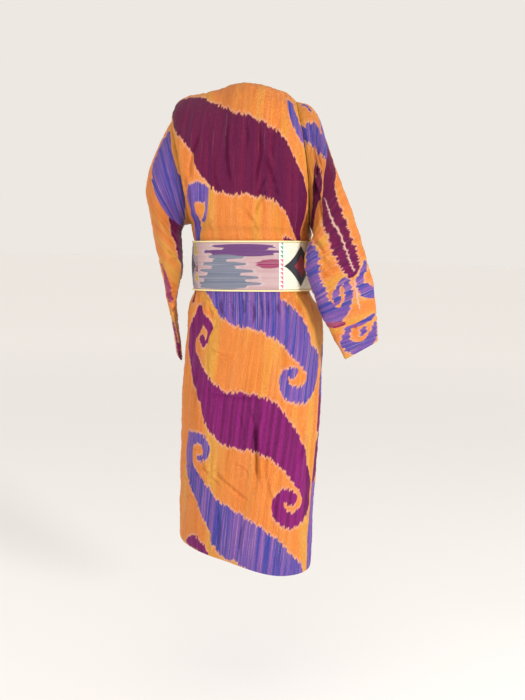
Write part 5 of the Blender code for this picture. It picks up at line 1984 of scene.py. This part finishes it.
@dataclass(frozen=True)
class Belt:
    """The wide sewn belt: its panels, its felt diamonds, and the piping on its edges."""

    top_z: float = -0.3800
    foot_z: float = -0.4945
    tilt: float = 0.004
    cloth: float = 0.0024
    felt: float = 0.0012
    gap: float = 0.0003
    clearance: float = 0.0008
    lap_rise: float = 0.0042
    lap_from: tuple[float, float] = (0.37, 0.45)
    fronts_from: tuple[float, float] = (0.21, 0.13)
    half_width: float = 0.15
    cord: float = 0.0022
    cord_columns: int = 433
    ring_length: float = 0.80
    cut_height: float = 0.115
    seamed_height: float = 0.1145
    ease: float = 0.0004
    column: float = 0.005
    panel_rows: int = 61
    diamond_columns: int = 41
    diamond_rows: int = 13
    panels: tuple[BeltPanel, ...] = (
        BeltPanel("belt_front_left", 0.54, 0.35),
        BeltPanel("belt_side_left", 0.35, 0.17),
        BeltPanel("belt_back", 0.17, -0.10),
        BeltPanel("belt_strip", -0.10, -0.116),
        BeltPanel("belt_side_right", -0.116, -0.356),
        BeltPanel("belt_front_right", -0.356, -0.54),
    )
    appliques: tuple[Applique, ...] = (
        Applique("right", -0.171, 0.055, 0.050, 0.025, 0.028),
        Applique("right_2", -0.301, 0.055, 0.050, 0.025, 0.028),
        Applique("left", 0.235, 0.055, 0.050, 0.025, 0.028),
    )

    def lift(self, shares: Array) -> Array:
        """How far the belt stands off the body's ring."""
        away = 0.5 - np.abs((shares + 0.5) % 1.0 - 0.5)
        over_fronts = FRONT_LAP_RISE * smooth(away, *self.fronts_from)
        return self.clearance + over_fronts + self.lap_rise * smooth(shares, *self.lap_from)

    def row(self, z: float, shares: Array, lift: float) -> Array:
        """A row of points that stands off the held robe."""
        away = BODY.outward((HELD_TOP_Z + HELD_FOOT_Z) / 2, shares)
        row = BODY.held_ring(z, shares) + away * (self.lift(shares) + lift)[:, None]
        row[:, 2] -= self.tilt * row[:, 0] / self.half_width
        return row

    def sheet(self, shares: Array, lift: float, low: Array, high: Array, rows: int) -> ClothGrid:
        """A sheet on the belt between two heights, which may change along it.

        Args:
            shares: The columns' places round the ring.
            lift: How far its outer face stands off the belt's inner one.
            low: The foot's height at each column.
            high: The top's height at each column.
            rows: How many rows it has.

        Returns:
            The sheet, whose warp runs round the belt.
        """
        foot, top = self.row(self.foot_z, shares, lift), self.row(self.top_z, shares, lift)
        climb = np.linspace(0.0, 1.0, rows)[:, None]
        height = low[None] + (high - low)[None] * climb
        share = (height - self.foot_z) / (self.top_z - self.foot_z)
        points = foot[None] + (top - foot)[None] * share[:, :, None]
        along = np.repeat((shares * BODY.length(-0.44))[None], rows, axis=0)
        return ClothGrid(points, height, along, all_cells(points))

    def build(self) -> list[bpy.types.Object]:
        """Makes the panels, the diamonds and the piping."""
        ikat, ivory, strip = BELT_SILK.material(), IVORY.material(), STRIP.material()
        finishes = {"belt_strip": strip, "belt_side_right": ivory, "belt_side_left": SIDE_SILK.material()}
        made = []
        for panel in self.panels:
            count = round(abs(panel.end - panel.start) / self.column) + 1
            shares = np.linspace(panel.start, panel.end, max(count, 5))
            low, high = np.full(len(shares), self.foot_z), np.full(len(shares), self.top_z)
            grid = self.sheet(shares, self.cloth, low, high, self.panel_rows)
            if panel.name == "belt_strip":
                middle = grid.along.mean()
                grid = ClothGrid(grid.points, grid.along - middle + 0.0035, grid.across, grid.cells)
            finish = finishes.get(panel.name, ikat)
            width = abs(panel.end - panel.start) * self.ring_length
            flat, area = (round(width, 4), self.cut_height), round(width * self.seamed_height, 6)
            piece = ClothPiece(
                panel.name, grid, flat, area, (finish,),
                thickness=self.cloth - self.ease, dyes=PATTERN.get(panel.name, Dyes()),
                tuck=0.0007, wrinkle=0.0004, held="stretched",
            )
            made.append(piece.build())
        black, red = BLACK_FELT.material(), RED_FELT.material()
        first = self.cloth + self.gap + self.felt
        for a in self.appliques:
            panel = "belt_side_left" if a.side == "left" else "belt_side_right"
            diamond = f"diamond_{a.side}"
            made.append(self.diamond(diamond, a.share, a.half_share, a.half_height, first, black, panel))
            patch = (a.patch_half_share, a.patch_half_height, first + self.gap + self.felt)
            made.append(self.diamond(f"patch_{a.side}", a.share, *patch, red, diamond))
        finish = CREAM_CORD.material()
        offset = self.cord + 2 * self.gap
        made.append(self.piping("belt_piping_top", self.top_z + offset, finish))
        made.append(self.piping("belt_piping_foot", self.foot_z - offset, finish))
        return made

    def diamond(
        self,
        name: str,
        share: float,
        half_share: float,
        half_height: float,
        lift: float,
        finish: bpy.types.Material,
        under: str,
    ) -> bpy.types.Object:
        """A diamond with hollowed sides.

        Args:
            name: The node that it stands for.
            share: Where its middle stands round the ring.
            half_share: Half its width, as a share of the ring.
            half_height: Half its height.
            lift: How far its face stands off the belt's inner one.
            finish: Its felt.
            under: The piece that it is sewn on.

        Returns:
            The diamond.
        """
        shares = np.linspace(share + half_share, share - half_share, self.diamond_columns)
        narrow = np.maximum(1 - np.abs(shares - share) / half_share, 0.02)
        reach = half_height * (0.45 * narrow**2 + 0.55 * narrow)
        middle = (self.top_z + self.foot_z) / 2
        grid = self.sheet(shares, lift, middle - reach, middle + reach, self.diamond_rows)
        width, height = 2 * half_share * self.ring_length, 2 * half_height
        piece = ClothPiece(
            name, grid, (round(width, 3), round(height, 3)), round(0.42 * width * height, 5), (finish,),
            thickness=self.felt, tuck=0.0004, wrinkle=0.0002, held="laid", rests_on=(under,),
        )
        return piece.build()

    def piping(self, name: str, z: float, finish: bpy.types.Material, sides: int = 12) -> bpy.types.Object:
        """A twisted cord sewn along one edge of the belt."""
        shares = np.linspace(self.panels[0].start, self.panels[-1].end, self.cord_columns)
        line = self.row(z, shares, self.cord)
        away = BODY.outward(z, shares)
        run = run_of(line[None], 1)[0]
        turns = 2 * math.pi * np.arange(sides + 1) / sides
        ring = [self.cord * (math.cos(t) * away + np.array([0, 0, math.sin(t)])) for t in turns]
        points = line[:, None] + np.stack(ring, axis=1)
        along = np.repeat(run[:, None], sides + 1, axis=1)
        across = np.repeat((turns * self.cord)[None], len(run), axis=0)
        mesh = bpy.data.meshes.new(f"{name}_cord")
        columns = sides + 1
        corners = [(i, j) for i in range(len(run) - 1) for j in range(sides)]
        starts = [i * columns + j for i, j in corners]
        faces = [(a, a + 1, a + columns + 1, a + columns) for a in starts]
        mesh.from_pydata(points.reshape(-1, 3).tolist(), [], faces)
        write_places(mesh, across.ravel(), along.ravel())
        mesh.materials.append(finish)
        made = linked(mesh.name, mesh)
        close_tube(made)
        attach(made, "root")
        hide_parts(name)
        log.info("%s: %d triangles", made.name, count_triangles(made))
        return made


def close_tube(made: bpy.types.Object) -> None:
    """Merges a tube's long seam, closes its two ends and turns its faces outwards."""
    select_only(made)
    bpy.ops.object.mode_set(mode="EDIT")
    bpy.ops.mesh.select_all(action="SELECT")
    bpy.ops.mesh.remove_doubles(threshold=1e-6)
    bpy.ops.mesh.select_all(action="DESELECT")
    bpy.ops.mesh.select_non_manifold()
    bpy.ops.mesh.edge_face_add()
    bpy.ops.mesh.select_all(action="SELECT")
    bpy.ops.mesh.normals_make_consistent(inside=False)
    bpy.ops.object.mode_set(mode="OBJECT")
    bpy.ops.object.shade_smooth_by_angle(angle=math.radians(50.0))


@dataclass(frozen=True)
class Softbox:
    """A square light that faces a point."""

    name: str
    place: tuple[float, float, float]
    size: float
    power: float
    aim: tuple[float, float, float] = (0.0, 0.0, -0.6)

    def build(self) -> None:
        """Sets the light up."""
        data = bpy.data.lights.new(self.name, "AREA")
        data.size = self.size
        data.energy = self.power
        made = linked(self.name, data)
        away = Vector(self.place) - Vector(self.aim)
        turned = away.to_track_quat("Z", "Y").to_matrix().to_4x4()
        made.matrix_world = Matrix.Translation(self.place) @ turned


@dataclass(frozen=True)
class Studio:
    """The pale floor and backdrop, the soft lights, and the camera."""

    azimuth_deg: float = 172.0
    distance: float = 2.3
    height: float = -0.4
    pitch_deg: float = 6.2638
    roll_deg: float = 1.6577
    target_x: float = -0.03199
    focal_px: float = 899.39
    long_side_px: float = 700.0
    sensor_mm: float = 36.0
    floor_z: float = -1.50
    floor_radius: float = 2.0
    floor_sides: int = 96
    floor_grows: tuple[float, ...] = (2.0, 2.5, 3.0, 4.0)
    # Painted light: the floor is darker near the robe, where the lamps light it most, and paler far off,
    # where only the sky does.
    floor_near: tuple = tone(240, 239, 238)
    floor_far: tuple = tone(254, 253, 252)
    near_radius: float = 1.5
    far_radius: float = 9.0
    sky: tuple = tone(237, 232, 226)
    softboxes: tuple[Softbox, ...] = (
        Softbox("key", (-3.5, 3.1, -0.1), 0.8, 212.0),
        Softbox("side", (4.0, 2.8, -0.2), 1.6, 84.0),
    )

    def build(self) -> None:
        """Sets up the whole studio."""
        self.backdrop()
        self.lights()
        self.camera()

    def camera(self) -> None:
        """Stands the camera where the photograph was taken from."""
        turn, pitch, roll = (math.radians(d) for d in (self.azimuth_deg, self.pitch_deg, self.roll_deg))
        look = Vector((math.sin(turn), math.cos(turn), 0.0))
        place = Vector((self.target_x, 0.0, 0.0)) - look * self.distance
        place.z = self.height
        forward = look * math.cos(pitch) - Vector((0, 0, math.sin(pitch)))
        right = forward.cross(Vector((0, 0, 1))).normalized()
        up = right.cross(forward)
        across = right * math.cos(roll) + up * math.sin(roll)
        above = up * math.cos(roll) - right * math.sin(roll)
        data = bpy.data.cameras.new("photo_camera")
        data.sensor_width = self.sensor_mm
        data.lens = self.focal_px / self.long_side_px * self.sensor_mm
        made = linked("photo_camera", data)
        turned = Matrix((across, above, -forward)).transposed().to_4x4()
        made.matrix_world = Matrix.Translation(place) @ turned
        bpy.context.scene.camera = made

    def backdrop(self) -> None:
        """A wide flat floor, paler with distance, whose far rim meets a pale sky. The change is painted
        light that evens out the lamps' falloff.
        """
        select_only(None)
        bpy.ops.mesh.primitive_circle_add(
            vertices=self.floor_sides, radius=self.floor_radius, fill_type="NGON",
            location=(0.0, 0.0, self.floor_z),
        )
        made = bpy.context.object
        made.name = "pale_floor"
        bpy.ops.object.mode_set(mode="EDIT")
        bpy.ops.mesh.select_mode(type="EDGE")
        bpy.ops.mesh.select_all(action="DESELECT")
        bpy.ops.mesh.select_non_manifold()
        for grow in self.floor_grows:
            bpy.ops.mesh.extrude_edges_move()
            bpy.ops.transform.resize(value=(grow, grow, 1.0))
        bpy.ops.mesh.select_all(action="SELECT")
        bpy.ops.mesh.normals_make_consistent(inside=False)
        bpy.ops.object.mode_set(mode="OBJECT")
        bpy.ops.object.transform_apply(location=True, rotation=True, scale=True)
        paper, bench, shader = new_material("pale_paper")
        place = bench.node("ShaderNodeTexCoord").outputs["Object"]
        away = bench.node("ShaderNodeVectorMath", operation="LENGTH")
        bench.feed(away.inputs[0], place)
        # Painted light: the colour grows paler with distance to even out the lamps' falloff.
        far = bench.span(away.outputs["Value"], self.near_radius, self.far_radius)
        bench.feed(shader.inputs["Base Color"], bench.mix(far, self.floor_near, self.floor_far))
        shader.inputs["Roughness"].default_value = 0.95
        shader.inputs["Specular IOR Level"].default_value = 0.1
        made.data.materials.append(paper)

    def lights(self) -> None:
        """A key light, a broader light from the side, and an even pale sky."""
        world = bpy.data.worlds.new("studio_sky")
        world.use_nodes = True
        sky = world.node_tree.nodes["Background"]
        sky.inputs["Color"].default_value = self.sky
        sky.inputs["Strength"].default_value = 1.0
        bpy.context.scene.world = world
        for softbox in self.softboxes:
            softbox.build()
        bpy.context.scene.view_settings.view_transform = "Standard"


def main() -> None:
    """Builds the pieces in order."""
    logging.basicConfig(level=logging.INFO, format="%(message)s")
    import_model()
    Studio().build()
    made = Robe().build() + Belt().build()
    log.info("%d pieces", len(made))
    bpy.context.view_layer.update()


if __name__ == "__main__":
    main()
